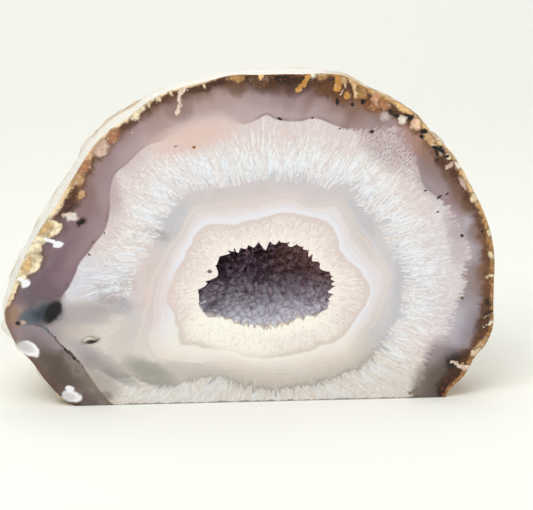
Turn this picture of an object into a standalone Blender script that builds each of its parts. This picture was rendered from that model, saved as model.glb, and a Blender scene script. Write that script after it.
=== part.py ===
"""Self-standing agate geode: one polished cut face, a sawn base, natural skin behind,
and a crystal-lined hollow. Metres, +Z up. The polished face looks towards -Y, and the
origin is the centre of the bounding box's underside."""

import math
import random

import bmesh
import bpy
from mathutils import Matrix, Vector, noise

MM = 0.001

# Driving sizes
BODY_DEPTH = 52 * MM          # polished face to the back of the nodule
WIDEST_DEPTH = 3 * MM         # how far behind the face the nodule is widest
WIDEST_SCALE = 1.005          # section there, against the section at the face
BACK_FULLNESS = 2.1           # 2 is an ellipsoid, more is blockier
CRUST_GAP = 0.3 * MM          # stone to crystal crust
CRUST_THICKNESS = 1.8 * MM    # behind the roots of the crystals
HOLLOW_CENTRE_DEPTH = 4 * MM  # the hollow is widest this far behind the face
HOLLOW_HALF_DEPTH = 13 * MM
CRYSTAL_COUNT = 300           # around the whole hollow, before the saw opens it
CRYSTAL_HEIGHT = 1.7 * MM
TIP_REACH = 0.7 * MM          # mean distance of the crystal edge inside the crystal roots
WALL_BLUR = math.radians(16)  # smoothing of the mouth's outline behind the crystals

# The nodule's outline smooths out and its middle drifts from the face to the back
BACK_BLUR = math.radians(40)
BACK_DRIFT = (-3 * MM, 0, -1 * MM)

# Mesh fineness
SKIN_RINGS = 32               # widest section to back pole, each with four points less
SKIN_LONGITUDES = 4 * SKIN_RINGS
WALL_RINGS = 8
WALL_LONGITUDES = 64
BLUR_STEPS = 4                # samples to each side of a smoothed radius
SMALLEST_EDGE = 0.12 * MM

# Natural lumps of the skin: wavelength and height of each layer, and rounded knobs
SKIN_LUMPS = ((21 * MM, 3.2 * MM), (7 * MM, 1.0 * MM))
SKIN_LUMP_START = 36 * MM     # lumps reach full height this far behind the face
LUMP_CENTRE_DEPTH = 12 * MM   # they rise away from this point behind the face's centre
KNOB_SPACING = 9 * MM
KNOB_HEIGHT = 2.2 * MM
KNOB_SHARE = 0.45             # mean height of the knobs, taken off to keep the size
# Chalcedony beads on the skin: longitude in degrees, depth, radius, height
SKIN_BEADS = (
    (191.5, 2.8 * MM, 2.6 * MM, 1.5 * MM),
    (197.5, 6.5 * MM, 2.4 * MM, 1.1 * MM),
    (205, 3.0 * MM, 2.2 * MM, 0.9 * MM),
    (212.5, 2.4 * MM, 2.4 * MM, 1.2 * MM),
    (174, 6.0 * MM, 2.6 * MM, 0.8 * MM),
    (163, 8.0 * MM, 3.0 * MM, 0.8 * MM),
    (141, 13.0 * MM, 3.4 * MM, 1.0 * MM),
    (34, 9.0 * MM, 3.2 * MM, 0.8 * MM),
)

# Outline of the polished face before the base was sawn, x and z in millimetres,
# anticlockwise from the right. Points under z = 0 are the part that the saw took.
FACE_OUTLINE_MM = (
    (56, 26.5), (56, 33), (55, 38.5), (53, 44), (50.5, 48.5), (48, 53.5), (45, 57.5),
    (41.5, 61), (38, 65), (34, 68), (30, 70), (26, 72), (21.5, 74.5), (18, 75),
    (11.5, 75), (3, 75), (-3.5, 75), (-10, 73.5), (-16.5, 72), (-22, 69.5),
    (-26.5, 66), (-31, 63), (-34.5, 59.5), (-37.5, 55), (-40, 51), (-42.5, 47),
    (-45, 43.5), (-47.5, 39.5), (-50, 35), (-52, 30.5), (-53, 27.5), (-54.5, 24),
    (-55, 21), (-54, 18), (-52, 14), (-49, 10.5), (-46, 6), (-42.5, 2), (-39.5, 0),
    (-34, -4.5), (-25, -9.5), (-13.5, -13), (0, -14.5), (16.5, -14), (30, -11),
    (39.5, -7), (44, -3), (46, 1.5), (49.5, 5), (52, 9.5), (54.5, 12.5), (56, 16.5),
    (56, 21.5),
)
FACE_CENTRE_MM = (0, 29)

# Mouth of the hollow in the polished face, along the middle of the crystal teeth
MOUTH_OUTLINE_MM = (
    (19, 26), (18.5, 29), (16.5, 31), (14.5, 33), (13, 35), (11, 36), (9, 36.5),
    (7, 37), (5, 36.5), (1, 36.5), (-0.5, 35.5), (-2.5, 35.5), (-4.5, 35),
    (-6.5, 33.5), (-7, 31.5), (-8, 29.5), (-9.5, 28), (-11.5, 26), (-11, 24),
    (-10, 21.5), (-9, 20), (-7, 20.5), (-4.5, 19.5), (-2, 18.5), (0.5, 18),
    (2.5, 17.5), (5, 17.5), (8, 18), (10, 19), (13.5, 19.5), (15.5, 20), (17.5, 21.5),
    (18, 23.5),
)
MOUTH_CENTRE_MM = (4, 27.5)


class ClosedOutline:
    """A closed outline as a smooth radius about a centre in the face's plane."""

    def __init__(self, points_mm, centre_mm):
        self.centre = Vector((centre_mm[0] * MM, 0, centre_mm[1] * MM))
        spokes = []
        for x, z in points_mm:
            arm = Vector((x * MM, 0, z * MM)) - self.centre
            spokes.append((math.atan2(arm.z, arm.x) % math.tau, arm.length))
        self.spokes = sorted(spokes)

    def radius(self, angle, blur=0.0):
        """Radius at this angle, or its mean over an arc of this width to each side."""
        if blur:
            arc = [angle + blur * step / BLUR_STEPS for step in range(-BLUR_STEPS, BLUR_STEPS + 1)]
            return sum(self.radius(near) for near in arc) / len(arc)
        angle %= math.tau
        count = len(self.spokes)
        after = next((i for i, s in enumerate(self.spokes) if s[0] > angle), count)
        near = [self.spokes[(after + step) % count] for step in (-2, -1, 0, 1)]
        span = (near[2][0] - near[1][0]) % math.tau
        t = ((angle - near[1][0]) % math.tau) / span
        r0, r1, r2, r3 = (spoke[1] for spoke in near)
        return 0.5 * (
            2 * r1
            + (r2 - r0) * t
            + (2 * r0 - 5 * r1 + 4 * r2 - r3) * t * t
            + (3 * r1 - r0 - 3 * r2 + r3) * t ** 3
        )

    def point(self, angle, scale=1.0, depth=0.0, blur=0.0):
        """Point of the outline, scaled about its centre, set back and smoothed."""
        across = Vector((math.cos(angle), 0, math.sin(angle)))
        reach = self.radius(angle, blur) * scale
        return self.centre + across * reach + Vector((0, depth, 0))


FACE = ClosedOutline(FACE_OUTLINE_MM, FACE_CENTRE_MM)
MOUTH = ClosedOutline(MOUTH_OUTLINE_MM, MOUTH_CENTRE_MM)


def smooth_step(value):
    value = max(0.0, min(1.0, value))
    return value * value * (3 - 2 * value)


def knobs(point):
    """Rounded knobs with creases between them, from 0 in a crease to 1 on a knob."""
    nearest = noise.voronoi(point / KNOB_SPACING)[0][0]
    return max(0.0, 1 - 1.6 * nearest * nearest)


def skin_rise(point):
    """Height of the natural lumps, knobs and beads over the smooth nodule."""
    rise = KNOB_HEIGHT * (knobs(point) - KNOB_SHARE)
    for wavelength, height in SKIN_LUMPS:
        rise += height * noise.noise(point / wavelength)
    rise *= smooth_step(point.y / SKIN_LUMP_START)
    for longitude, depth, radius, height in SKIN_BEADS:
        away = (point - FACE.point(math.radians(longitude), depth=depth)).length / radius
        rise += height * max(0.0, 1 - away * away)
    return rise


def skin_ring(turn, count):
    """Ring of the nodule's skin: turn is 0 at the widest section, 90 degrees at the back."""
    back = math.sin(turn) ** (2 / BACK_FULLNESS)
    scale = WIDEST_SCALE * max(0.0, math.cos(turn)) ** (2 / BACK_FULLNESS)
    depth = WIDEST_DEPTH + (BODY_DEPTH - WIDEST_DEPTH) * back
    bulge_centre = FACE.centre + Vector((0, LUMP_CENTRE_DEPTH, 0))
    ring = []
    for i in range(count):
        smooth = FACE.point(math.tau * i / count, scale, depth, BACK_BLUR * back)
        smooth += Vector(BACK_DRIFT) * back
        outward = (smooth - bulge_centre).normalized()
        ring.append(smooth + outward * skin_rise(smooth))
    return ring


def wall_blur(beyond):
    return WALL_BLUR if beyond > 0 else 0.0


def widest_reach(angle, beyond):
    """Half width of the hollow's wall at its widest, pushed out by beyond."""
    mouth_share = math.sqrt(1 - (HOLLOW_CENTRE_DEPTH / HOLLOW_HALF_DEPTH) ** 2)
    return (MOUTH.radius(angle, wall_blur(beyond)) + TIP_REACH) / mouth_share + beyond


def hollow_point(direction, beyond):
    """Where this direction from the hollow's centre meets its wall, pushed out by beyond."""
    direction = direction.normalized()
    angle = math.atan2(direction.z, direction.x)
    in_plane = math.hypot(direction.x, direction.z)
    deep = HOLLOW_HALF_DEPTH + beyond
    reach = 1 / math.hypot(in_plane / widest_reach(angle, beyond), direction.y / deep)
    centre = MOUTH.centre + Vector((0, HOLLOW_CENTRE_DEPTH, 0))
    return centre + direction * reach


def hollow_ring(beyond, latitude):
    """Ring of the hollow's wall: latitude 0 is the mouth in the face, 1 is the bottom."""
    ring = []
    for step in range(WALL_LONGITUDES):
        angle = math.tau * step / WALL_LONGITUDES
        across = Vector((math.cos(angle), 0, math.sin(angle)))
        narrowing = math.sqrt(1 - (HOLLOW_CENTRE_DEPTH / (HOLLOW_HALF_DEPTH + beyond)) ** 2)
        mouth_dip = -math.atan2(HOLLOW_CENTRE_DEPTH, widest_reach(angle, beyond) * narrowing)
        dip = mouth_dip + (math.pi / 2 - mouth_dip) * latitude
        point = hollow_point(across * math.cos(dip) + Vector((0, math.sin(dip), 0)), beyond)
        if latitude == 0:
            point.y = 0.0
        ring.append(point)
    return ring


def add_ring(mesh, points):
    return [mesh.verts.new(point) for point in points]


def bridge(mesh, first, second):
    """Quads between two rings of equal count."""
    count = len(first)
    for i in range(count):
        j = (i + 1) % count
        mesh.faces.new((first[i], first[j], second[j], second[i]))


def bridge_to_fewer(mesh, outer, inner):
    """Triangles from a ring to the next one towards a pole, which has four points less.
    The last such ring is the pole itself, a single point."""
    across = len(outer) // 4
    for quarter in range(4):
        for i in range(across):
            start = quarter * across + i
            left, right = outer[start], outer[(start + 1) % len(outer)]
            below = start - quarter
            near = inner[below % len(inner)]
            mesh.faces.new((left, right, near))
            if i < across - 1:
                mesh.faces.new((right, inner[(below + 1) % len(inner)], near))


def close_to_pole(mesh, ring, pole):
    """Triangles from a ring to one point."""
    tip = mesh.verts.new(pole)
    for i, corner in enumerate(ring):
        mesh.faces.new((corner, ring[(i + 1) % len(ring)], tip))


def ring_edges(mesh, ring):
    return [mesh.edges.get((vert, ring[(i + 1) % len(ring)])) for i, vert in enumerate(ring)]


def add_wall(mesh, beyond):
    """The hollow's wall, pushed out by beyond. Returns its mouth, in the face's plane."""
    rings = [add_ring(mesh, hollow_ring(beyond, step / WALL_RINGS)) for step in range(WALL_RINGS)]
    for first, second in zip(rings, rings[1:]):
        bridge(mesh, first, second)
    close_to_pole(mesh, rings[-1], hollow_point(Vector((0, 1, 0)), beyond))
    return rings[0]


def add_skin(mesh):
    """The nodule's skin. Returns its front edge, in the face's plane."""
    turns = [math.tau * i / SKIN_LONGITUDES for i in range(SKIN_LONGITUDES)]
    edge = add_ring(mesh, [FACE.point(turn) for turn in turns])
    rings = [
        add_ring(mesh, skin_ring(math.pi / 2 * step / SKIN_RINGS, 4 * (SKIN_RINGS - step)))
        for step in range(SKIN_RINGS)
    ]
    rings.append(add_ring(mesh, skin_ring(math.pi / 2, 1)))
    bridge(mesh, edge, rings[0])
    for first, second in zip(rings, rings[1:]):
        bridge_to_fewer(mesh, first, second)
    return edge


def saw_off(mesh, plane_normal):
    """Cuts away what lies on the normal's side of the plane through the origin."""
    geometry = mesh.verts[:] + mesh.edges[:] + mesh.faces[:]
    cut = bmesh.ops.bisect_plane(
        mesh, geom=geometry, dist=1e-7, plane_co=(0, 0, 0), plane_no=plane_normal,
        clear_outer=True,
    )
    return [part for part in cut["geom_cut"] if isinstance(part, bmesh.types.BMEdge)]


def finish_object(name, mesh, material):
    bmesh.ops.recalc_face_normals(mesh, faces=mesh.faces)
    data = bpy.data.meshes.new(name)
    mesh.to_mesh(data)
    mesh.free()
    made = bpy.data.objects.new(name, data)
    bpy.context.scene.collection.objects.link(made)
    data.materials.append(material)
    return made


def plain_material(name, colour, roughness):
    material = bpy.data.materials.new(name)
    material.use_nodes = True
    shader = material.node_tree.nodes["Principled BSDF"]
    shader.inputs["Base Color"].default_value = (*colour, 1)
    shader.inputs["Roughness"].default_value = roughness
    shader.inputs["Metallic"].default_value = 0
    return material


def make_stone():
    """The banded stone: skin, polished face with the hollow's mouth, and the hollow's wall."""
    mesh = bmesh.new()
    edge = add_skin(mesh)
    mouth = add_wall(mesh, CRUST_THICKNESS + CRUST_GAP)
    face_border = ring_edges(mesh, edge) + ring_edges(mesh, mouth)
    bmesh.ops.triangle_fill(mesh, edges=face_border, use_beauty=True)
    bmesh.ops.contextual_create(mesh, geom=saw_off(mesh, (0, 0, -1)))
    return finish_object(
        "agate_stone", mesh, plain_material("agate", (0.62, 0.55, 0.57), 0.2)
    )


def crystal_seeds():
    """Even but not regular directions, one for each crystal."""
    dice = random.Random(7)
    golden_turn = math.pi * (3 - math.sqrt(5))
    spread = 0.32 * math.sqrt(4 * math.pi / CRYSTAL_COUNT)
    seeds = []
    for i in range(CRYSTAL_COUNT):
        height = 1 - 2 * (i + 0.5) / CRYSTAL_COUNT
        around = i * golden_turn
        flat = math.sqrt(1 - height * height)
        seed = Vector((flat * math.cos(around), height, flat * math.sin(around)))
        jitter = Vector([dice.uniform(-spread, spread) for _ in range(3)])
        seeds.append((seed + jitter).normalized())
    return seeds


def crystal_cells(seeds):
    """For each seed, the directions of its cell's corners in order round it: the dual
    of the seeds' convex hull, which is their Voronoi pattern on the sphere."""
    hull = bmesh.new()
    for seed in seeds:
        hull.verts.new(seed)
    bmesh.ops.convex_hull(hull, input=hull.verts)
    hull.faces.ensure_lookup_table()
    hull.faces.index_update()
    middles = [face.calc_center_median() for face in hull.faces]
    corners = [
        face.normal * math.copysign(1, face.normal.dot(middle))
        for face, middle in zip(hull.faces, middles)
    ]
    cells = []
    for vert in hull.verts:
        axis = vert.co.normalized()
        side = axis.orthogonal().normalized()
        other = axis.cross(side)
        turn = {
            face.index: math.atan2(middles[face.index].dot(other),
                                   middles[face.index].dot(side))
            for face in vert.link_faces
        }
        cells.append((axis, sorted(turn, key=turn.get)))
    hull.free()
    return corners, cells


def add_crystals(mesh):
    """Pointed crystals all over the hollow's wall, tips inwards, one cell each."""
    dice = random.Random(11)
    corners, cells = crystal_cells(crystal_seeds())
    roots = [mesh.verts.new(hollow_point(corner, 0)) for corner in corners]
    for axis, around in cells:
        root = hollow_point(axis, 0)
        middle = sum((roots[i].co for i in around), Vector()) / len(around)
        lean = (middle - root) * dice.uniform(0, 0.6)
        height = CRYSTAL_HEIGHT * dice.uniform(0.65, 1.25)
        tip = mesh.verts.new(root + lean - axis * height)
        for i, index in enumerate(around):
            mesh.faces.new((roots[index], roots[around[(i + 1) % len(around)]], tip))
    bmesh.ops.remove_doubles(mesh, verts=mesh.verts, dist=SMALLEST_EDGE)


def make_crust():
    """The crystal lining of the hollow: crystals inside, smooth where it meets the stone."""
    mesh = bmesh.new()
    add_crystals(mesh)
    toothed_edge = saw_off(mesh, (0, -1, 0))
    mouth = add_wall(mesh, CRUST_THICKNESS)
    border = toothed_edge + ring_edges(mesh, mouth)
    bmesh.ops.triangle_fill(mesh, edges=border, use_beauty=True)
    return finish_object(
        "amethyst_crust", mesh, plain_material("amethyst", (0.16, 0.12, 0.18), 0.25)
    )


def set_origin_under_centre(objects):
    """Moves the shapes so that the bounding box stands centred on the origin."""
    corners = [vert.co for made in objects for vert in made.data.vertices]
    middle_x = (min(c.x for c in corners) + max(c.x for c in corners)) / 2
    middle_y = (min(c.y for c in corners) + max(c.y for c in corners)) / 2
    for made in objects:
        made.data.transform(Matrix.Translation((-middle_x, -middle_y, 0)))
    print(f"moved by {-middle_x:.6f}, {-middle_y:.6f}")


def main():
    for old in list(bpy.data.objects):
        bpy.data.objects.remove(old)
    set_origin_under_centre([make_stone(), make_crust()])


main()
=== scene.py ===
"""Looks of a self-standing agate geode: the banded stone with its polished face, sawn base
and natural rind, and the crust of dark crystals that lines its hollow. It is laid out as an
add-on with one operator for each piece, and run as a script."""

import math

import bpy
import numpy as np
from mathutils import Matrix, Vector, noise


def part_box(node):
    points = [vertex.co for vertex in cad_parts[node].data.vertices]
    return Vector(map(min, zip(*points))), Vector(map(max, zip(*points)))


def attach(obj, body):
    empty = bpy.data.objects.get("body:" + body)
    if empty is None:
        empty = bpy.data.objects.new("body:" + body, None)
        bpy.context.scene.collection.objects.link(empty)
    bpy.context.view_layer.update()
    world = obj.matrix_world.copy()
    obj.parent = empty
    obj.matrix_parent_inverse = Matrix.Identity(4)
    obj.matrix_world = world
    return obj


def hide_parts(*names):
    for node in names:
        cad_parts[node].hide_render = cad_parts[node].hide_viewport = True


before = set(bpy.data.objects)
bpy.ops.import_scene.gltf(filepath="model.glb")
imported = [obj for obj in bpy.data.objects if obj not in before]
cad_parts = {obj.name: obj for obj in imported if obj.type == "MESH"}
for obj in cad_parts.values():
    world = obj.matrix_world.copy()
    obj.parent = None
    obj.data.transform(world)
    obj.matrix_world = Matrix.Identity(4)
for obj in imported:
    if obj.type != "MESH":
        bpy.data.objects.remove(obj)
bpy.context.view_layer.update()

bl_info = {
    "name": "Agate geode",
    "version": (1, 0, 0),
    "blender": (4, 5, 0),
    "location": "View3D > Sidebar > Geode",
    "description": "Builds a polished agate geode with a crystal-lined hollow",
    "category": "Object",
}

MM = 0.001

# The face's own axes are x to the right and z up, in millimetres, as its outlines are given.
# The polished face is the stone's front side in the frame.
FACE_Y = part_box("agate_stone")[0].y
FACE_ORIGIN = Vector((-0.3 * MM, FACE_Y, 0))

# Outline of the polished face before the base was sawn, anticlockwise from the right
OUTLINE_MM = (
    (56, 26.5), (56, 33), (55, 38.5), (53, 44), (50.5, 48.5), (48, 53.5), (45, 57.5),
    (41.5, 61), (38, 65), (34, 68), (30, 70), (26, 72), (21.5, 74.5), (18, 75),
    (11.5, 75), (3, 75), (-3.5, 75), (-10, 73.5), (-16.5, 72), (-22, 69.5),
    (-26.5, 66), (-31, 63), (-34.5, 59.5), (-37.5, 55), (-40, 51), (-42.5, 47),
    (-45, 43.5), (-47.5, 39.5), (-50, 35), (-52, 30.5), (-53, 27.5), (-54.5, 24),
    (-55, 21), (-54, 18), (-52, 14), (-49, 10.5), (-46, 6), (-42.5, 2), (-39.5, 0),
    (-34, -4.5), (-25, -9.5), (-13.5, -13), (0, -14.5), (16.5, -14), (30, -11),
    (39.5, -7), (44, -3), (46, 1.5), (49.5, 5), (52, 9.5), (54.5, 12.5), (56, 16.5),
    (56, 21.5),
)
OUTLINE_CENTRE_MM = (0, 29)

# Borders between the bands, from the outside in, and the mouth of the hollow
FIBRE_OUTER_MM = (
    (49.5, 26.5), (49.5, 30), (50.5, 32.5), (50, 35.5), (48.5, 38.5), (47, 42), (45, 45),
    (43, 46.5), (40.5, 48.5), (39, 50.5), (38.5, 52.5), (38, 54.5), (37, 57.5),
    (36, 60), (34.5, 62.5), (31.5, 63), (27.5, 62.5), (23, 62.5), (20.5, 63), (18, 64),
    (15.5, 65), (13.5, 65), (12, 64.5), (9, 64.5), (6, 65), (4, 66), (2, 65),
    (-0.5, 64), (-3, 64.5), (-6, 65.5), (-9, 65), (-13, 63.5), (-16.5, 62),
    (-19.5, 60.5), (-22.5, 59.5), (-24.5, 58), (-27, 55.5), (-29.5, 53.5), (-30.5, 51.5),
    (-31, 48.5), (-31, 45.5), (-31.5, 42.5), (-32.5, 40), (-34.5, 37.5), (-36, 35.5),
    (-38, 33), (-39, 30.5), (-40.5, 27.5), (-42, 25.5), (-42.5, 23.5), (-44, 21.5),
    (-45.5, 19.5), (-44.5, 17), (-42, 14), (-40, 11.5), (-37.5, 9), (-35.5, 6),
    (-33.5, 3), (-30.5, 0), (-22.5, -3.5), (-11, -6.5), (2.5, -7.5), (16.5, -7),
    (28, -4.5), (34.5, -0.5), (37, 1.5), (39.5, 3.5), (40.5, 6), (41, 9), (42, 11),
    (44, 12.5), (45.5, 14.5), (46.5, 18), (47.5, 21), (48.5, 24),
)
FIBRE_INNER_MM = (
    (35.5, 26.5), (35, 30), (33.5, 32.5), (32, 35), (31.5, 37), (30, 40), (28.5, 42),
    (26, 44.5), (24, 46.5), (23, 48.5), (21, 49.5), (18, 49.5), (15, 50), (12.5, 51),
    (9.5, 51), (5, 51), (1, 51.5), (-2, 50.5), (-5, 50), (-8, 49.5), (-11.5, 49.5),
    (-14, 48.5), (-15.5, 47), (-17.5, 45), (-19, 43), (-19.5, 40), (-21.5, 38),
    (-22.5, 35.5), (-24.5, 32.5), (-26, 30), (-26.5, 27), (-27.5, 25), (-29, 22),
    (-30, 18.5), (-30.5, 15.5), (-32, 12), (-32.5, 8.5), (-30.5, 6.5), (-26.5, 6),
    (-22, 4.5), (-17.5, 4.5), (-13.5, 5.5), (-9, 6), (-6, 6), (-3, 4.5), (2, 3),
    (7, 2.5), (12.5, 3.5), (16.5, 4), (20.5, 5.5), (23.5, 6.5), (27, 8.5), (29.5, 11),
    (31.5, 14), (33, 16.5), (34.5, 20), (35, 23),
)
GREY_INNER_MM = (
    (31.5, 26.5), (31.5, 30), (30, 32.5), (28.5, 35), (27, 37.5), (24.5, 40.5),
    (23, 43.5), (21, 46), (18, 46.5), (14, 46.5), (11, 48), (7.5, 48.5), (4, 48),
    (0, 47.5), (-4, 47), (-8, 46.5), (-11.5, 46), (-13.5, 44.5), (-15, 41.5),
    (-16.5, 38.5), (-18.5, 36), (-20.5, 32.5), (-22, 29), (-23, 24.5), (-24, 19.5),
    (-25, 15.5), (-25.5, 12), (-23.5, 9), (-18, 8), (-11, 8), (-4.5, 8), (2.5, 7.5),
    (9.5, 7), (15, 8), (19.5, 9), (23.5, 11.5), (26.5, 14.5), (29, 18), (31, 22.5),
)
DRUSE_OUTER_MM = (
    (27.5, 25.5), (26.5, 28), (25, 30.5), (22.5, 32.5), (20.5, 35), (20, 38), (18, 41),
    (13, 43), (9.5, 43.5), (6.5, 43.5), (3, 42.5), (-0.5, 42), (-4, 41), (-8, 41.5),
    (-11.5, 39.5), (-13.5, 35.5), (-15.5, 32), (-17.5, 28.5), (-18.5, 24.5), (-17, 21),
    (-16, 17.5), (-15, 14.5), (-12, 13.5), (-8, 13), (-3.5, 12), (0.5, 10.5), (6.5, 10.5),
    (12.5, 11.5), (16.5, 13), (21, 14.5), (23.5, 18), (26, 21.5),
)
MOUTH_MM = (
    (19, 26), (18.5, 29), (16.5, 31), (14.5, 33), (13, 35), (11, 36), (9, 36.5),
    (7, 37), (5, 36.5), (1, 36.5), (-0.5, 35.5), (-2.5, 35.5), (-4.5, 35),
    (-6.5, 33.5), (-7, 31.5), (-8, 29.5), (-9.5, 28), (-11.5, 26), (-11, 24),
    (-10, 21.5), (-9, 20), (-7, 20.5), (-4.5, 19.5), (-2, 18.5), (0.5, 18),
    (2.5, 17.5), (5, 17.5), (8, 18), (10, 19), (13.5, 19.5), (15.5, 20), (17.5, 21.5),
    (18, 23.5),
)
HOLLOW_CENTRE_MM = (4, 27.5)

# Shape of the nodule behind the face, as the solids have it
BODY_DEPTH = 52 * MM
WIDEST_DEPTH = 3 * MM
WIDEST_SCALE = 1.005
BACK_FULLNESS = 2.1
BACK_BLUR = math.radians(40)
BACK_DRIFT = Vector((-3 * MM, 0, -1 * MM))
BLUR_STEPS = 4
LUMP_LAYERS = ((21 * MM, 3.2 * MM), (7 * MM, 1.0 * MM))
LUMP_START = 36 * MM
LUMP_CENTRE_DEPTH = 12 * MM
KNOB_SPACING = 9 * MM
KNOB_HEIGHT = 2.2 * MM
KNOB_SHARE = 0.45
CELL_FALL = 1.6                     # how steeply a rounded knob or bulge falls to its crease
# Chalcedony beads on the rind: longitude in degrees, depth, radius, height
BEADS = (
    (191.5, 2.8 * MM, 2.6 * MM, 1.5 * MM),
    (197.5, 6.5 * MM, 2.4 * MM, 1.1 * MM),
    (205, 3.0 * MM, 2.2 * MM, 0.9 * MM),
    (212.5, 2.4 * MM, 2.4 * MM, 1.2 * MM),
    (174, 6.0 * MM, 2.6 * MM, 0.8 * MM),
    (163, 8.0 * MM, 3.0 * MM, 0.8 * MM),
    (141, 13.0 * MM, 3.4 * MM, 1.0 * MM),
    (34, 9.0 * MM, 3.2 * MM, 0.8 * MM),
)

# Shape of the hollow, as the solids have it
CRUST_THICKNESS = 1.8 * MM
HOLLOW_CENTRE_DEPTH = 4 * MM
HOLLOW_HALF_DEPTH = 13 * MM
TIP_REACH = 0.7 * MM
WALL_BLUR = math.radians(16)

# Fine relief of the rind, which leaves alone the face and the wall of the hollow
RIND_START = 3 * MM                 # the relief is full from this depth on
CLEAR_RADIUS = 25 * MM              # of the part round the hollow that stays smooth
CLEAR_DEPTH = 20 * MM
RIND_TEXTURES = (                   # name, kind, size, share of the relief
    ("pits", "VORONOI", 4 * MM, -0.8),
    ("grains", "CLOUDS", 1.6 * MM, 0.7),
)
SMOOTH_ANGLE = math.radians(35)

# Crystals
LAYOUT_SEED = 5
TIP_SEED = 11
CRYSTAL_INSET = 0.16 * MM           # the shoulders' distance from the crystal's edge
SHOULDER_SHARE = 0.25               # height of the shoulders, of the crystal's height
TIP_SHARES = (0.3, 1.5)             # least and greatest height of a pointed end over them
TIP_LEAN = 0.6 * MM
SHOULDER_TIP = 0.4                  # the stored value "tip" there: 0 at the root, 1 at the end

# Stored as the depth inside the outline where no mark of the rim may reach
FAR_FROM_RIM_MM = 40

# Places this near to a plane, in metres, count as in it
FLAT = 1e-6

# Mesh fineness
LONGITUDES = 400
WALL_RINGS = 10
FACE_RINGS = (6, 8, 6, 16, 12)      # from the hollow's lip out, border to border
EDGE_RINGS = 4
SKIN_RINGS = 84
SHELL_RINGS = 9
CRYSTAL_SUBDIVISIONS = 5            # of the ball whose corners are the crystals' places
CRYSTAL_SHARE = 0.27                # of its corners that are kept

# Stage, in metres
FLOOR_SIZE = 3                      # front to back
FLOOR_WIDENING = 2
FLOOR_MIDDLE = (0, -0.6, 0)
BACKDROP_HEIGHT = 2
BACKDROP_BEND = 0.5                 # radius between the floor and the backdrop
BEND_STEPS = 16
FACE_AIM = (0, 0, 0.035)
LIGHTS = (                          # name, place, what it is aimed at, size, watts
    ("key", (-0.45, -0.75, 0.95), FACE_AIM, 0.8, 9.0),
    ("fill", (0.8, -0.7, 0.5), FACE_AIM, 0.8, 3.1),
    ("top", (0.05, 0.1, 1.1), FACE_AIM, 0.9, 4.0),
    ("backdrop", (0, 0.45, 0.8), (0, 1.0, 0.035), 0.8, 0.6),
)
ROOM_COLOUR = (0.95, 0.97, 1, 1)
ROOM_LIGHT = 0.27
CAMERA_TARGET = FACE_ORIGIN + Vector((4 * MM, 0, 34.2 * MM))
LENS_MM = 150


def unit(rows):
    """These vectors, one to a row, at length 1."""
    return rows / np.linalg.norm(rows, axis=1)[:, None]


def spokes(turns):
    """Directions in the face's plane at these turns."""
    return np.stack((np.cos(turns), 0 * turns, np.sin(turns)), axis=-1)


def paint(code):
    """Linear colour with full alpha from a six-figure sRGB code."""
    shares = [int(code[i:i + 2], 16) / 255 for i in (0, 2, 4)]
    return (*(s / 12.92 if s <= 0.04045 else ((s + 0.055) / 1.055) ** 2.4 for s in shares), 1)


class ClosedOutline:
    """A closed outline as a smooth radius about a centre in the face's plane, in metres
    along the face's own axes."""

    def __init__(self, points_mm, centre_mm):
        self.centre = np.array((centre_mm[0], 0, centre_mm[1])) * MM
        arms = np.array([(x, 0, z) for x, z in points_mm]) * MM - self.centre
        turns = np.arctan2(arms[:, 2], arms[:, 0]) % math.tau
        order = np.argsort(turns)
        self.turns = turns[order]
        self.reach = np.linalg.norm(arms, axis=1)[order]

    def radius(self, turn, blur=0.0):
        """Radius at these turns, or its mean over an arc of this width to each side."""
        if blur:
            steps = range(-BLUR_STEPS, BLUR_STEPS + 1)
            return sum(self.radius(turn + blur * s / BLUR_STEPS) for s in steps) / len(steps)
        turn = np.mod(turn, math.tau)
        count = len(self.turns)
        after = np.searchsorted(self.turns, turn, side="right")
        near = [(after + step) % count for step in (-2, -1, 0, 1)]
        span = (self.turns[near[2]] - self.turns[near[1]]) % math.tau
        t = ((turn - self.turns[near[1]]) % math.tau) / span
        r0, r1, r2, r3 = (self.reach[i] for i in near)
        return 0.5 * (
            2 * r1
            + (r2 - r0) * t
            + (2 * r0 - 5 * r1 + 4 * r2 - r3) * t * t
            + (3 * r1 - r0 - 3 * r2 + r3) * t ** 3
        )

    def points(self, turn, scale=1.0, depth=0.0, blur=0.0):
        """Points of the outline, scaled about its centre, set back and smoothed."""
        reach = self.radius(turn, blur) * scale
        return self.centre + spokes(turn) * reach[:, None] + np.array((0, depth, 0))

    def outside(self, points):
        """How far these points lie outside the outline, or as a negative value inside."""
        arms = points - self.centre
        turn = np.arctan2(arms[:, 2], arms[:, 0])
        return np.hypot(arms[:, 0], arms[:, 2]) - self.radius(turn)


FACE = ClosedOutline(OUTLINE_MM, OUTLINE_CENTRE_MM)
MOUTH = ClosedOutline(MOUTH_MM, HOLLOW_CENTRE_MM)
HOLLOW_MIDDLE = MOUTH.centre + np.array((0, HOLLOW_CENTRE_DEPTH, 0))
BORDERS = (
    FACE,
    ClosedOutline(FIBRE_OUTER_MM, HOLLOW_CENTRE_MM),
    ClosedOutline(FIBRE_INNER_MM, HOLLOW_CENTRE_MM),
    ClosedOutline(GREY_INNER_MM, HOLLOW_CENTRE_MM),
    ClosedOutline(DRUSE_OUTER_MM, HOLLOW_CENTRE_MM),
    MOUTH,
)


def smooth_step(value):
    """0 up to the value 0 and 1 from the value 1, with a smooth step between."""
    value = np.clip(value, 0, 1)
    return value * value * (3 - 2 * value)


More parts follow.
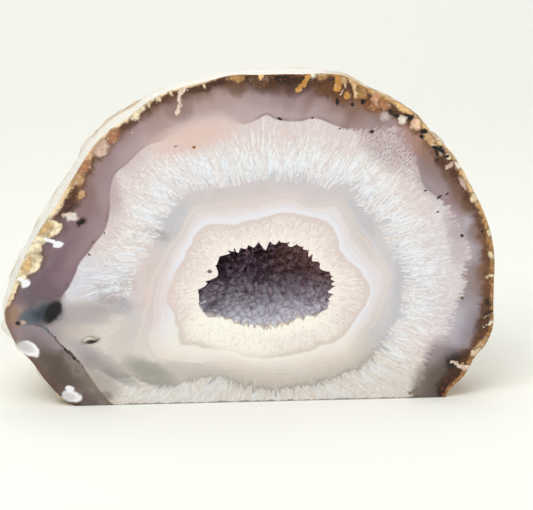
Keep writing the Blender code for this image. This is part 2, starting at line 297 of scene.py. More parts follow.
def band_of(points):
    """Place of points of the face among its bands: 0 at the outline, 1 to 4 at the borders
    and 5 at the mouth of the hollow."""
    outside = np.array([border.outside(points) for border in BORDERS])
    band = np.full(len(points), 5.0)
    for k in reversed(range(len(BORDERS) - 1)):
        out, into = outside[k], outside[k + 1]
        between = into > 0
        share = out / np.where(between, out - into, 1)
        band = np.where(between, k + np.clip(share, 0, 1), band)
    return band


def knob(point):
    """A rounded knob with a crease round it, from 0 in the crease to 1 on top."""
    nearest = noise.voronoi(point / KNOB_SPACING)[0][0]
    return max(0.0, 1 - CELL_FALL * nearest * nearest)


def skin_rise(point):
    """Height of the natural lumps and knobs over the smooth nodule."""
    rise = KNOB_HEIGHT * (knob(point) - KNOB_SHARE)
    for wavelength, height in LUMP_LAYERS:
        rise += height * noise.noise(point / wavelength)
    return rise * float(smooth_step(point.y / LUMP_START))


def bead_rise(points):
    """Height of the chalcedony beads at these points of the smooth nodule."""
    rise = np.zeros(len(points))
    for longitude, depth, radius, height in BEADS:
        middle = FACE.points(np.array([math.radians(longitude)]), depth=depth)[0]
        away = np.linalg.norm(points - middle, axis=1) / radius
        rise += height * np.maximum(0, 1 - away * away)
    return rise


def skin_ring(quarter, turns):
    """Ring of the nodule's skin: quarter is 0 at the widest section and 1 at the back."""
    power = 2 / BACK_FULLNESS
    back = math.sin(quarter * math.pi / 2) ** power
    scale = WIDEST_SCALE * max(0.0, math.cos(quarter * math.pi / 2)) ** power
    depth = WIDEST_DEPTH + (BODY_DEPTH - WIDEST_DEPTH) * back
    smooth = FACE.points(turns, scale, depth, BACK_BLUR * back) + np.array(BACK_DRIFT) * back
    outward = unit(smooth - FACE.centre - np.array((0, LUMP_CENTRE_DEPTH, 0)))
    rise = np.array([skin_rise(Vector(point)) for point in smooth]) + bead_rise(smooth)
    return smooth + outward * rise[:, None]


def hollow_points(directions, beyond):
    """Where these directions from the hollow's centre meet its wall, pushed out by beyond."""
    directions = unit(directions)
    turn = np.arctan2(directions[:, 2], directions[:, 0])
    mouth_share = math.sqrt(1 - (HOLLOW_CENTRE_DEPTH / HOLLOW_HALF_DEPTH) ** 2)
    at_mouth = MOUTH.radius(turn, WALL_BLUR if beyond > 0 else 0.0) + TIP_REACH
    across = at_mouth / mouth_share + beyond
    flat = np.hypot(directions[:, 0], directions[:, 2])
    reach = 1 / np.hypot(flat / across, directions[:, 1] / (HOLLOW_HALF_DEPTH + beyond))
    return HOLLOW_MIDDLE + directions * reach[:, None]


def hollow_ring(beyond, latitude, turns):
    """Ring of the hollow's wall: latitude 0 is the mouth in the face, 1 is the bottom."""
    narrowing = math.sqrt(1 - (HOLLOW_CENTRE_DEPTH / (HOLLOW_HALF_DEPTH + beyond)) ** 2)
    across = spokes(turns)
    widest = np.linalg.norm(hollow_points(across, beyond) - HOLLOW_MIDDLE, axis=1)
    mouth_dip = -np.arctan2(HOLLOW_CENTRE_DEPTH, widest * narrowing)
    dip = mouth_dip + (math.pi / 2 - mouth_dip) * latitude
    deeper = np.array((0, 1, 0)) * np.sin(dip)[:, None]
    ring = hollow_points(across * np.cos(dip)[:, None] + deeper, beyond)
    if latitude == 0:
        ring[:, 1] = 0
    return ring


def even_turns():
    return np.arange(LONGITUDES) * math.tau / LONGITUDES


def stone_rings():
    """Rings of the whole stone's surface from the bottom of the hollow, over the face and
    the skin, to the back."""
    turns = even_turns()
    rings = [hollow_ring(CRUST_THICKNESS, step / WALL_RINGS, turns)
             for step in range(WALL_RINGS, -1, -1)]
    inner = rings[-1]
    for border, count in zip(reversed(BORDERS[:-1]), FACE_RINGS):
        outer = border.points(turns)
        rings += [inner + (outer - inner) * step / count for step in range(1, count + 1)]
        inner = outer
    widest = skin_ring(0, turns)
    rings += [inner + (widest - inner) * step / EDGE_RINGS for step in range(1, EDGE_RINGS)]
    rings += [skin_ring(step / SKIN_RINGS, turns) for step in range(SKIN_RINGS + 1)]
    return np.array(rings)


# Blender steps that more than one piece uses

def deselect_all():
    if bpy.context.object and bpy.context.object.mode != "OBJECT":
        bpy.ops.object.mode_set(mode="OBJECT")
    bpy.ops.object.select_all(action="DESELECT")


def edit_all():
    """Goes into edit mode with the whole mesh selected."""
    bpy.ops.object.mode_set(mode="EDIT")
    bpy.ops.mesh.select_all(action="SELECT")


def end_edit():
    bpy.ops.object.mode_set(mode="OBJECT")


def name_piece(name):
    made = bpy.context.object
    made.name = made.data.name = name
    return made


def corner_places(made):
    """The mesh's corners, in metres, as an array with one row each."""
    places = np.empty(len(made.data.vertices) * 3)
    made.data.vertices.foreach_get("co", places)
    return places.reshape(-1, 3)


def place_corners(made, places):
    made.data.vertices.foreach_set("co", places.ravel())
    made.data.update()


def sphere_through(name, rings):
    """A sphere whose rings of corners are moved to these places, pole to pole."""
    around = rings.shape[1]
    deselect_all()
    bpy.ops.mesh.primitive_uv_sphere_add(segments=around, ring_count=len(rings) - 1, radius=1)
    made = name_piece(name)
    ball = corner_places(made)
    latitude = np.arccos(np.clip(ball[:, 2], -1, 1)) / math.pi * (len(rings) - 1)
    longitude = np.arctan2(ball[:, 1], ball[:, 0]) / math.tau * around
    place_corners(made, rings[np.rint(latitude).astype(int),
                              np.rint(longitude).astype(int) % around])
    return made


def cut_plane(normal, fill):
    """Cuts away what lies on the normal's side of a plane through the origin of the face's
    axes, and fills the cut if asked."""
    edit_all()
    bpy.ops.mesh.bisect(
        plane_co=(0, 0, 0), plane_no=normal, use_fill=fill, clear_outer=True, threshold=1e-7
    )
    end_edit()


def face_outwards():
    edit_all()
    bpy.ops.mesh.normals_make_consistent(inside=False)
    end_edit()


def write_value(made, name, values):
    """Stores one number for each corner, which the materials read by this name."""
    stored = made.data.attributes.new(name, "FLOAT", "POINT")
    stored.data.foreach_set("value", np.asarray(values, dtype=np.float32))


def move_to_frame(made):
    """Takes a mesh from the face's own axes to the frame."""
    place_corners(made, corner_places(made) + np.array(FACE_ORIGIN))


def apply_modifiers(made):
    for modifier in list(made.modifiers):
        bpy.ops.object.modifier_apply(modifier=modifier.name)


# Shader building

PAINTS = {
    "mauve": "a08c8e",
    "pale mauve": "b8a3a4",
    "mauve rose": "b59d9b",
    "ash mauve": "9e908f",
    "dusty mauve": "9c8588",
    "rose mauve": "a18c90",
    "rose tan": "aa908a",
    "fawn mauve": "9d8582",
    "rind highlight white": "f8f5ec",
    "rind beige": "e2d2b8",
    "rind brown": "94704e",
    "rind tan": "b8946a",
    "rind straw": "d0b48c",
    "plum mauve": "866e76",
    "plum": "6f5a62",
    "plum brown": "876a67",
    "mauve grey": "93858a",
    "lilac": "a9a2aa",
    "pale lilac": "b6afb7",
    "ice lilac": "d0d0da",
    "slate lilac": "8f8790",
    "lilac grey": "9a9093",
    "smoke lilac": "928488",
    "smoke": "675b60",
    "smoke brown": "6e6059",
    "taupe": "83766e",
    "mocha": "836c64",
    "cocoa": "7a5d50",
    "fawn": "947362",
    "clay brown": "836659",
    "chestnut": "8a603f",
    "walnut": "744c32",
    "peat": "51443b",
    "umber": "5f3f2a",
    "dark umber": "3c2213",
    "grey brown": "5f534b",
    "olive grey": "7b7167",
    "slate": "8a8c93",
    "blue black": "12161f",
    "blue grey": "545f69",
    "dark slate": "2c323b",
    "black": "0a0706",
    "soot": "1f1008",
    "rust": "804617",
    "ochre": "cf9345",
    "dark ochre": "8e5c24",
    "golden": "b58a50",
    "gold light": "eec583",
    "amber brown": "7a4c26",
    "sand": "dcb382",
    "clay": "b97f58",
    "tube": "e6cfbd",
    "shell": "efc6a8",
    "pink shell": "d9b9a9",
    "cream": "f9ebc6",
    "pale cream": "f9f2e0",
    "bead white": "f3f2f4",
    "bead beige": "ddd3c9",
    "peach": "dda57c",
    "bronze": "94683a",
    "pale peach": "dcbfb5",
    "pale tan": "c9ac99",
    "crumb": "f2dfb8",
    "milk pink": "d6c7c3",
    "fibre pink": "dac9c5",
    "milk": "e0dad6",
    "fibre tip": "dfdddd",
    "cool white": "e2e7ef",
    "bright white": "f4f6f8",
    "hair shade": "c9beba",
    "band grey": "c2c0c4",
    "band warm": "c9c5c6",
    "band pink": "d3c9c6",
    "band peach": "d8cdc5",
    "peach veil": "ddcbc6",
    "pale": "e0d8d7",
    "warm pale": "d9d0cd",
    "edge white": "e5e3e8",
    "edge pink": "dacbc5",
    "druse": "e0d3cd",
    "druse light": "e8dcd4",
    "druse glow": "f4eae2",
    "druse shade": "cbbbb0",
    "tooth": "f3e8d6",
    "low fibre": "d3ccc0",
    "low shadow": "9d968b",
    "low grey": "b8b0a6",
    "low band": "c6bdb2",
    "low pink": "d7cdc2",
    "low pale": "e7ddd3",
    "low white": "ede7dd",
    "low druse": "e9e0d5",
    "low glow": "fbf8ea",
    "wedge": "8f8f88",
    "lower grey": "a8a299",
    "lower cream": "d6ccc1",
    "lower lilac": "a69fa1",
    "rose line": "7d6165",
    "tan": "9a7a62",
    "crystal pale": "f2f2fb",
    "crystal grey": "c6c2ce",
    "crystal mauve": "7f6e7b",
    "crystal dark": "3c2d39",
    "crystal deep": "1a1218",
    "crystal shade black": "0a0609",
    "crystal brown": "8f6a58",
    "crystal pink highlight": "bf98ab",
    "crystal rose": "c9b4c0",
    "crystal rim highlight": "e0dae4",
    "crystal ring highlight": "ebe7f0",
    "crystal joint shade": "1f1820",
    "crystal glint": "c39bb0",
    "floor": "f6f6ef",
}


def shade(name):
    return paint(PAINTS[name])


class Wiring:
    """Adds nodes to a node tree and joins them. A value may be a number or a socket."""

    def __init__(self, tree):
        self.tree = tree

    def feed(self, socket, value):
        if isinstance(value, bpy.types.NodeSocket):
            self.tree.links.new(value, socket)
        else:
            socket.default_value = value

    def add(self, kind, inputs=None, **settings):
        node = self.tree.nodes.new(kind)
        for name, value in settings.items():
            setattr(node, name, value)
        for name, value in (inputs or {}).items():
            self.feed(node.inputs[name], value)
        return node

    def math(self, operation, first, second=0.0, third=0.0):
        node = self.add("ShaderNodeMath", {0: first, 1: second, 2: third}, operation=operation)
        return node.outputs[0]

    def plus(self, *values):
        total = values[0]
        for value in values[1:]:
            total = self.math("ADD", total, value)
        return total

    def minus(self, first, second):
        return self.math("SUBTRACT", first, second)

    def times(self, *values):
        total = values[0]
        for value in values[1:]:
            total = self.math("MULTIPLY", total, value)
        return total

    def either(self, first, second):
        return self.math("MAXIMUM", first, second)

    def vector(self, operation, first, second=(0, 0, 0)):
        node = self.add("ShaderNodeVectorMath", {0: first, 1: second}, operation=operation)
        return node.outputs["Value" if operation in ("LENGTH", "DOT_PRODUCT") else "Vector"]

    def stretch(self, vector, factor):
        node = self.add("ShaderNodeVectorMath", {0: vector, "Scale": factor}, operation="SCALE")
        return node.outputs["Vector"]

    def mix(self, share, first, second, kind="MIX"):
        """The first colour, with this share of the second, which may be a paint's name."""
        first, second = (shade(c) if isinstance(c, str) else c for c in (first, second))
        node = self.add("ShaderNodeMix", {0: share, 6: first, 7: second},
                        data_type="RGBA", blend_type=kind)
        return node.outputs[2]

    def tint(self, colour, name, *masks):
        """The colour with a paint on it, as strongly as the masks multiplied."""
        return self.mix(self.times(*masks), colour, name)

    def layers(self, colour, rows):
        """The colour with paints laid on it in turn. A row has a value, where on it the
        paint starts and where it is full, the paint's name, and masks."""
        for value, start, full, name, *masks in rows:
            colour = self.tint(colour, name, self.rise(value, start, full), *masks)
        return colour

    def row(self, value, stops, smooth):
        node = self.add("ShaderNodeValToRGB", {"Fac": value})
        row = node.color_ramp
        row.interpolation = "EASE" if smooth else "LINEAR"
        row.elements.remove(row.elements[0])
        for count, (place, colour) in enumerate(stops):
            stop = row.elements.new(place) if count else row.elements[0]
            stop.position = place
            stop.color = colour
        return node.outputs["Color"]

    def paints(self, value, stops, low=0.0, high=1.0, smooth=False):
        """Colour along a row of stops, each a place and a paint's name."""
        share = self.share(value, low, high) if (low, high) != (0, 1) else value
        return self.row(share, [((place - low) / (high - low), shade(name))
                                for place, name in stops], smooth)

    def levels(self, value, stops):
        """Number along a row of stops, each a place from 0 to 1 and a number."""
        high = max(n for _, n in stops)
        grey = self.row(value, [(place, (n / high, n / high, n / high, 1))
                                for place, n in stops], True)
        return self.times(grey, high)

    def share(self, value, start, end):
        """0 at start and 1 at end, in a straight line."""
        node = self.add("ShaderNodeMapRange", {"Value": value, "From Min": start, "From Max": end},
                        clamp=False)
        return node.outputs["Result"]

    def rise(self, value, start, end, height=1.0):
        """0 at start and the height at end with a smooth step between, either way round."""
        node = self.add("ShaderNodeMapRange", {
            "Value": value, "From Min": start, "From Max": end, "To Max": height,
        }, interpolation_type="SMOOTHSTEP", clamp=False)
        return node.outputs["Result"]

    def between(self, value, start, full, fading, end):
        """0 up to start, 1 from full to fading and 0 from end, with smooth steps between."""
        return self.times(self.rise(value, start, full), self.rise(value, end, fading))

    def noise(self, position, scale, detail=2.0, roughness=0.5, colour=False):
        node = self.add("ShaderNodeTexNoise", {
            "Vector": position, "Scale": scale, "Detail": detail, "Roughness": roughness})
        return node.outputs["Color" if colour else "Fac"]

    def cells(self, position, scale):
        """Distance to the middle of the nearest of many uneven cells."""
        node = self.add("ShaderNodeTexVoronoi", {"Vector": position, "Scale": scale})
        return node.outputs["Distance"]

    def split(self, vector):
        return self.add("ShaderNodeSeparateXYZ", {0: vector}).outputs

    def join(self, x, y, z):
        return self.add("ShaderNodeCombineXYZ", {0: x, 1: y, 2: z}).outputs[0]

    def attribute(self, name):
        return self.add("ShaderNodeAttribute", attribute_name=name).outputs["Fac"]

    def group(self, maker, inputs=None):
        """The sockets of a node group, which is made when it is first asked for."""
        tree = bpy.data.node_groups.get(maker.__name__) or maker()
        return self.add("ShaderNodeGroup", inputs, node_tree=tree).outputs


def new_group(name, inputs, outputs):
    """An empty node group with these sockets: its tree, wiring, inputs and outputs."""
    kinds = {
        "number": "NodeSocketFloat", "vector": "NodeSocketVector", "colour": "NodeSocketColor",
    }
    tree = bpy.data.node_groups.new(name, "ShaderNodeTree")
    for way, sockets in (("INPUT", inputs), ("OUTPUT", outputs)):
        for socket, kind in sockets.items():
            tree.interface.new_socket(name=socket, in_out=way, socket_type=kinds[kind])
    w = Wiring(tree)
    return tree, w, w.add("NodeGroupInput").outputs, w.add("NodeGroupOutput").inputs


def face_position():
    """Place on the face's own axes in millimetres, its turn about the hollow from 0 at the
    right through a quarter at the top, and its direction from the hollow."""
    tree, w, _, out = new_group(
        "face_position", {}, {"Position": "vector", "Turn": "number", "Direction": "vector"}
    )
    position = w.add("ShaderNodeMapping", {
        "Vector": w.add("ShaderNodeTexCoord").outputs["Object"],
        "Location": tuple(-value / MM for value in FACE_ORIGIN),
        "Scale": (1 / MM, 1 / MM, 1 / MM),
    }).outputs[0]
    arm = w.vector("SUBTRACT", position, (HOLLOW_CENTRE_MM[0], 0, HOLLOW_CENTRE_MM[1]))
    x, _, z = w.split(arm)
    turn = w.math("FRACT", w.math("DIVIDE", w.math("ARCTAN2", z, x), math.tau))
    w.feed(out["Position"], position)
    w.feed(out["Turn"], turn)
    w.feed(out["Direction"], w.vector("NORMALIZE", w.join(x, 0.0, z)))
    return tree


def lay_paint(w, into, out, mask):
    """Puts paint on a coat where the mask is, and counts how much the coat covers."""
    w.feed(out["Coat"], w.mix(mask, into["Coat"], into["Paint"]))
    w.feed(out["Cover"], w.math("MULTIPLY_ADD", into["Cover"], w.minus(1.0, mask), mask))


def oval_mark():
    """An oval spot painted on a coat, with a soft edge. The axes are the spot's own
    directions, each divided by its half width."""
    tree, w, into, out = new_group(
        "oval_mark",
        {"Position": "vector", "Centre": "vector", "Across Axis": "vector",
         "Up Axis": "vector", "Softness": "number", "Strength": "number", "Paint": "colour",
         "Coat": "colour", "Cover": "number"},
        {"Coat": "colour", "Cover": "number"},
    )
    arm = w.vector("SUBTRACT", into["Position"], into["Centre"])
    across = w.vector("DOT_PRODUCT", arm, into["Across Axis"])
    up = w.vector("DOT_PRODUCT", arm, into["Up Axis"])
    away = w.math("MULTIPLY_ADD", across, across, w.times(up, up))
    outer, inner = w.plus(1.0, into["Softness"]), w.minus(1.0, into["Softness"])
    mask = w.rise(away, w.times(outer, outer), w.times(inner, inner), into["Strength"])
    lay_paint(w, into, out, mask)
    return tree


def straight_mark():
    """A straight stroke painted on a coat, whose half width may change along it."""
    tree, w, into, out = new_group(
        "straight_mark",
        {"Position": "vector", "Start": "vector", "End": "vector", "Start Width": "number",
         "End Width": "number", "Strength": "number", "Paint": "colour", "Coat": "colour",
         "Cover": "number"},
        {"Coat": "colour", "Cover": "number"},
    )
    length = w.vector("SUBTRACT", into["End"], into["Start"])
    arm = w.vector("SUBTRACT", into["Position"], into["Start"])
    along = w.math("DIVIDE", w.vector("DOT_PRODUCT", arm, length),
                   w.vector("DOT_PRODUCT", length, length))
    along = w.math("MINIMUM", w.math("MAXIMUM", along, 0.0), 1.0)
    gap = w.vector("LENGTH", w.vector("SUBTRACT", arm, w.stretch(length, along)))
    widening = w.minus(into["End Width"], into["Start Width"])
    width = w.math("MULTIPLY_ADD", widening, along, into["Start Width"])
    mask = w.rise(w.math("DIVIDE", gap, width), 1.25, 0.75, into["Strength"])
    lay_paint(w, into, out, mask)
    return tree


class Coat:
    """A coat of paint over the face, clear at first, on which marks are painted."""

    def __init__(self, wiring):
        self.w = wiring
        self.colour = (0, 0, 0, 1)
        self.cover = 0.0

    def paint(self, maker, name, strength, inputs):
        laid = self.w.group(maker, {
            "Paint": shade(name), "Strength": strength, "Coat": self.colour,
            "Cover": self.cover, **inputs,
        })
        self.colour, self.cover = laid["Coat"], laid["Cover"]

    def spots(self, position, spots, stretch=1):
        """Paints oval spots. Their first coordinate is stretched to millimetres."""
        for x, z, across, up, turn, softness, name, strength in spots:
            cosine, sine = math.cos(math.radians(turn)), math.sin(math.radians(turn))
            self.paint(oval_mark, name, strength, {
                "Position": position, "Softness": softness, "Centre": (x * stretch, 0, z),
                "Across Axis": (cosine / across, 0, sine / across),
                "Up Axis": (-sine / up, 0, cosine / up),
            })

    def strokes(self, position, strokes, stretch=1):
        """Paints straight strokes. Their first coordinate is stretched to millimetres."""
        for start, end, start_width, end_width, name, strength in strokes:
            self.paint(straight_mark, name, strength, {
                "Position": position, "Start": (start[0] * stretch, 0, start[1]),
                "End": (end[0] * stretch, 0, end[1]), "Start Width": start_width,
                "End Width": end_width,
            })

    def over(self, colour):
        """The colour with this coat on it."""
        left = self.w.mix(self.cover, colour, (0, 0, 0, 1))
        return self.w.mix(1.0, left, self.colour, "ADD")


# Distances from the middle of the hollow at which streaks and scallops have the size that
# is asked for
STREAK_REACH_MM = 38.0
SCALLOP_REACH_MM = 26.0


def crystal_streaks():
    """Streaks that point away from the hollow, as crystal fibres do. Across is their number
    in each millimetre, and Length how much of a band they run through."""
    tree, w, into, out = new_group(
        "crystal_streaks",
        {"Direction": "vector", "Band": "number", "Across": "number", "Length": "number",
         "Detail": "number", "Sway": "vector"},
        {"Value": "number"},
    )
    round_it = w.stretch(into["Direction"], w.times(into["Across"], STREAK_REACH_MM))
    inward = w.join(0.0, w.math("DIVIDE", into["Band"], into["Length"]), 0.0)
    sway = w.stretch(into["Sway"], into["Across"])
    place = w.vector("ADD", w.vector("ADD", round_it, inward), sway)
    w.feed(out["Value"], w.noise(place, 1.0, into["Detail"], 0.6))
    return tree


def growth_scallops():
    """Rounded bulges side by side round the hollow, 1 on a bulge and 0 in the cusps."""
    tree, w, into, out = new_group(
        "growth_scallops",
        {"Direction": "vector", "Width": "number", "Sway": "vector"},
        {"Value": "number"},
    )
    bulges = w.math("DIVIDE", SCALLOP_REACH_MM, into["Width"])
    place = w.vector("ADD", w.stretch(into["Direction"], bulges), into["Sway"])
    away = w.cells(place, 1.0)
    w.feed(out["Value"], w.minus(1.0, w.times(away, away, CELL_FALL)))
    return tree


# Marks on the face, in the order in which they are painted. Spots: middle x and z, half
# width and half height in millimetres, turn in degrees, softness, paint, strength.
AGATE_SPOTS = (
    (-46.5, 16.8, 5.0, 3.4, -20, 0.5, "mauve grey", 0.75),
    (-52.2, 23.4, 1.8, 2.4, 20, 0.8, "pale tan", 0.35),
    (-48.8, 26.0, 3.4, 2.0, 25, 0.9, "smoke", 0.75),
    (-44.5, 9.4, 2.0, 6.4, 38, 0.9, "peat", 0.6),
    (-53.8, 22.6, 1.5, 3.8, 20, 0.6, "tan", 0.9),
    (-46.3, 27.0, 1.8, 4.2, 55, 0.8, "plum", 0.55),
    (-45.2, 24.0, 2.8, 2.4, 30, 0.7, "plum", 0.8),
    (43.6, 10.5, 2.2, 3.0, -25, 0.8, "smoke lilac", 0.7),
    (41.2, 3.4, 2.8, 3.6, 0, 0.7, "olive grey", 0.85),
    (44.6, 4.8, 2.4, 5.2, -30, 0.9, "peat", 0.7),
    (36.0, 0.5, 1.6, 0.5, 0, 0.5, "lower cream", 0.9),
)
ZONE_SPOTS = (
    (-12.0, 61.4, 6.4, 2.2, 15, 1.0, "pale peach", 0.85),
    (41.5, 51.8, 2.6, 4.4, 25, 0.8, "lilac grey", 0.5),
    (37.8, 60.0, 4.0, 2.2, -45, 0.8, "fawn mauve", 0.6),
    (38.6, 59.4, 4.6, 2.2, -45, 0.9, "clay", 0.35),
    (41.4, 55.0, 2.2, 3.2, 30, 0.9, "cocoa", 0.55),
    (-26.0, 57.6, 3.4, 2.2, 45, 0.9, "pale mauve", 0.35),
    (-31.5, 50.0, 2.0, 4.2, 15, 0.9, "rose mauve", 0.55),
    (31.2, 58.8, 5.6, 3.4, -40, 0.8, "rose mauve", 0.45),
    (47.5, 35.5, 1.6, 3.6, 8, 0.9, "rose mauve", 0.4),
    (46.5, 40.5, 1.6, 2.6, 25, 0.9, "rose mauve", 0.4),
)
# Tints under the fibres' own streaks, and where the fibres are freckled
FIBRE_TINTS = (
    (-35.0, 27.0, 6.0, 6.0, 0, 0.8, "ice lilac", 0.9),
    (-41.0, 22.0, 3.0, 2.6, 0, 0.8, "ice lilac", 0.8),
    (-31.5, 26.0, 2.6, 1.7, -20, 1.0, "lilac grey", 0.7),
    (-27.2, 28.6, 2.2, 1.2, -40, 0.9, "lilac grey", 0.6),
    (-20.6, 39.6, 2.0, 1.0, -20, 0.9, "lilac grey", 0.6),
    (44.0, 30.0, 4.0, 12.0, 0, 0.9, "ice lilac", 0.5),
    (-4.5, 15.4, 7.0, 2.4, -20, 0.9, "low glow", 0.8),
    (-22.2, 28.0, 3.2, 6.4, 0, 1.0, "peach veil", 0.8),
    (2.0, 48.3, 15.0, 2.0, 0, 1.0, "peach veil", 0.45),
    (30.5, 30.0, 1.8, 9.0, 0, 1.0, "pale", 0.4),
)
FRECKLED = (
    (33.0, 59.8, 5.6, 4.0, -35, 1.0, "plum", 1.0),
    (38.0, 53.0, 2.4, 4.0, 20, 1.0, "plum", 0.5),
    (-31.0, 47.0, 1.8, 6.0, 5, 1.0, "plum", 0.35),
)
LOWER_SPOTS = (
    (-39.6, 18.0, 5.0, 3.2, -40, 0.7, "lilac grey", 0.95),
    (-33.5, 20.6, 6.5, 2.4, -20, 0.8, "lower cream", 0.8),
    (-33.0, 14.0, 7.5, 3.4, -25, 0.7, "lower cream", 0.75),
    (-37.6, 21.6, 4.6, 1.7, -12, 0.9, "lower lilac", 0.8),
    (-37.5, 12.0, 3.2, 1.6, -40, 0.8, "lower lilac", 0.7),
    (-33.5, 10.5, 5.5, 1.4, -38, 0.8, "lower lilac", 0.7),
    (-31.6, 23.4, 3.4, 1.6, -8, 1.0, "lilac grey", 0.6),
    (-29.3, 6.6, 3.2, 0.8, -28, 1.0, "wedge", 0.6),
    (-32.6, 2.2, 1.2, 0.8, 0, 0.8, "grey brown", 0.6),
    (-34.4, 6.4, 2.6, 4.6, 38, 0.9, "taupe", 0.55),
    (-20.0, 8.2, 11.5, 1.4, -3, 0.7, "lower grey", 0.45),
    (-22.4, 7.5, 4.6, 1.7, -30, 0.9, "wedge", 0.7),
)
# Dark inclusion at the left, with the small eye beside it
MARK_SPOTS = (
    (-48.3, 21.2, 3.3, 1.7, 12, 0.4, "blue grey", 0.95),
    (-46.4, 23.5, 1.4, 0.8, 20, 0.9, "slate", 0.6),
    (-45.4, 21.8, 2.6, 2.0, 15, 0.8, "dark slate", 0.9),
    (-44.2, 22.1, 1.5, 2.6, -32, 0.35, "blue black", 1.0),
    (-43.9, 22.0, 1.2, 2.3, -32, 0.5, "black", 1.0),
    (-52.0, 19.5, 0.6, 0.55, 30, 0.3, "blue black", 0.95),
    (-50.7, 19.8, 0.6, 0.45, 0, 0.6, "pale tan", 0.8),
    (-35.8, 15.3, 2.1, 0.8, 8, 0.4, "olive grey", 0.75),
    (-36.2, 15.4, 1.2, 0.4, 8, 0.5, "lower cream", 0.9),
    (-35.6, 14.95, 1.3, 0.35, 10, 0.4, "soot", 0.95),
    (-34.6, 15.3, 0.7, 0.25, 25, 0.5, "soot", 0.7),
)
# Strokes: start and end, half width at each in millimetres, paint, strength
CRACK_STROKES = (
    ((-50.6, 19.3), (-48.4, 19.2), 0.12, 0.16, "grey brown", 0.5),
    ((-48.4, 19.2), (-47.0, 18.9), 0.16, 0.2, "grey brown", 0.8),
    ((-47.0, 18.9), (-45.4, 17.9), 0.2, 0.2, "blue grey", 0.9),
    ((-45.4, 17.9), (-44.2, 16.4), 0.2, 0.2, "blue grey", 0.9),
    ((-44.2, 16.4), (-43.0, 14.8), 0.2, 0.22, "grey brown", 0.9),
    ((-43.0, 14.8), (-41.4, 13.4), 0.22, 0.26, "grey brown", 0.9),
    ((-41.4, 13.4), (-39.4, 11.3), 0.3, 0.45, "soot", 0.9),
    ((-39.4, 11.3), (-37.4, 8.8), 0.35, 0.12, "dark umber", 0.85),
    ((-37.4, 8.8), (-35.0, 4.9), 0.14, 0.1, "tan", 0.8),
    ((-49.0, 20.1), (-45.0, 19.7), 0.1, 0.14, "pale tan", 0.7),
    ((-46.6, 16.9), (-44.6, 15.4), 0.1, 0.1, "grey brown", 0.35),
    ((-45.4, 15.6), (-43.6, 14.2), 0.1, 0.1, "grey brown", 0.35),
)
# Length in millimetres that a whole turn about the hollow has along the rim
RIM_LENGTH_MM = 315
# Marks along the rim: the share of a whole turn about the hollow takes the place of x, and
# the depth inside the outline that of z. Soft dark patches come first.
RIM_SHADES = (
    (0.095, 1.9, 2.9, 2.0, 0, 0.5, "dark umber", 0.9),
    (0.0885, 3.4, 2.2, 1.2, 0, 0.7, "umber", 0.6),
    (0.078, 2.6, 2.4, 1.6, 0, 0.8, "umber", 0.45),
    (0.0585, 2.2, 1.7, 1.4, 0, 0.7, "umber", 0.7),
    (0.019, 1.9, 1.4, 0.9, 0, 0.6, "rust", 0.7),
    (0.003, 2.4, 2.6, 1.2, 0, 0.8, "umber", 0.4),
    (0.974, 1.4, 3.0, 1.5, -14, 0.6, "dark umber", 0.85),
    (0.9665, 3.0, 1.6, 0.9, -20, 0.7, "dark umber", 0.6),
    (0.953, 1.4, 2.8, 1.2, 0, 0.7, "rust", 0.5),
    (0.9335, 2.8, 2.3, 2.8, 0, 0.4, "soot", 0.95),
    (0.9285, 1.2, 3.0, 1.3, 0, 0.5, "rust", 0.6),
    (0.9200, 1.8, 3.6, 1.7, 0, 0.5, "dark umber", 0.85),
    (0.9115, 1.3, 1.7, 1.1, 0, 0.5, "black", 0.9),
    (0.246, 0.9, 7.2, 1.2, 0, 0.6, "soot", 0.9),
    (0.240, 2.1, 6.0, 1.7, 0, 0.8, "dark umber", 0.5),
    (0.2255, 2.6, 2.3, 2.2, 0, 0.6, "dark umber", 0.7),
    (0.1975, 2.2, 4.9, 3.3, 0, 0.25, "amber brown", 0.9),
    (0.1905, 4.0, 3.6, 1.9, 0, 0.3, "amber brown", 0.7),
    (0.198, 3.2, 4.4, 2.4, 0, 0.7, "dark umber", 0.5),
    (0.1655, 1.9, 4.4, 2.1, 0, 0.4, "rust", 0.85),
    (0.1500, 2.2, 2.2, 0.9, 0, 0.6, "soot", 0.85),
    (0.361, 0.9, 2.3, 1.0, 0, 0.8, "dark umber", 0.8),
    (0.336, 0.9, 4.0, 0.7, 0, 0.8, "dark umber", 0.8),
    (0.322, 3.9, 2.4, 2.4, 20, 0.9, "umber", 0.45),
    (0.300, 0.9, 3.0, 0.9, 0, 0.6, "soot", 0.8),
    (0.284, 0.7, 2.6, 0.8, 0, 0.5, "black", 0.85),
    (0.272, 2.0, 2.0, 2.2, 0, 0.7, "umber", 0.8),
    (0.4375, 2.2, 3.2, 1.8, 0, 0.5, "dark umber", 0.95),
    (0.4255, 2.6, 1.6, 1.5, 0, 0.6, "amber brown", 0.8),
    (0.4520, 3.6, 2.4, 1.6, 0, 0.8, "plum", 0.7),
    (0.4700, 3.2, 2.6, 1.4, 0, 0.8, "plum", 0.7),
    (0.4865, 4.3, 2.8, 1.1, 0, 0.8, "plum", 0.6),
    (0.5020, 2.2, 2.0, 1.2, 0, 0.8, "plum", 0.5),
)
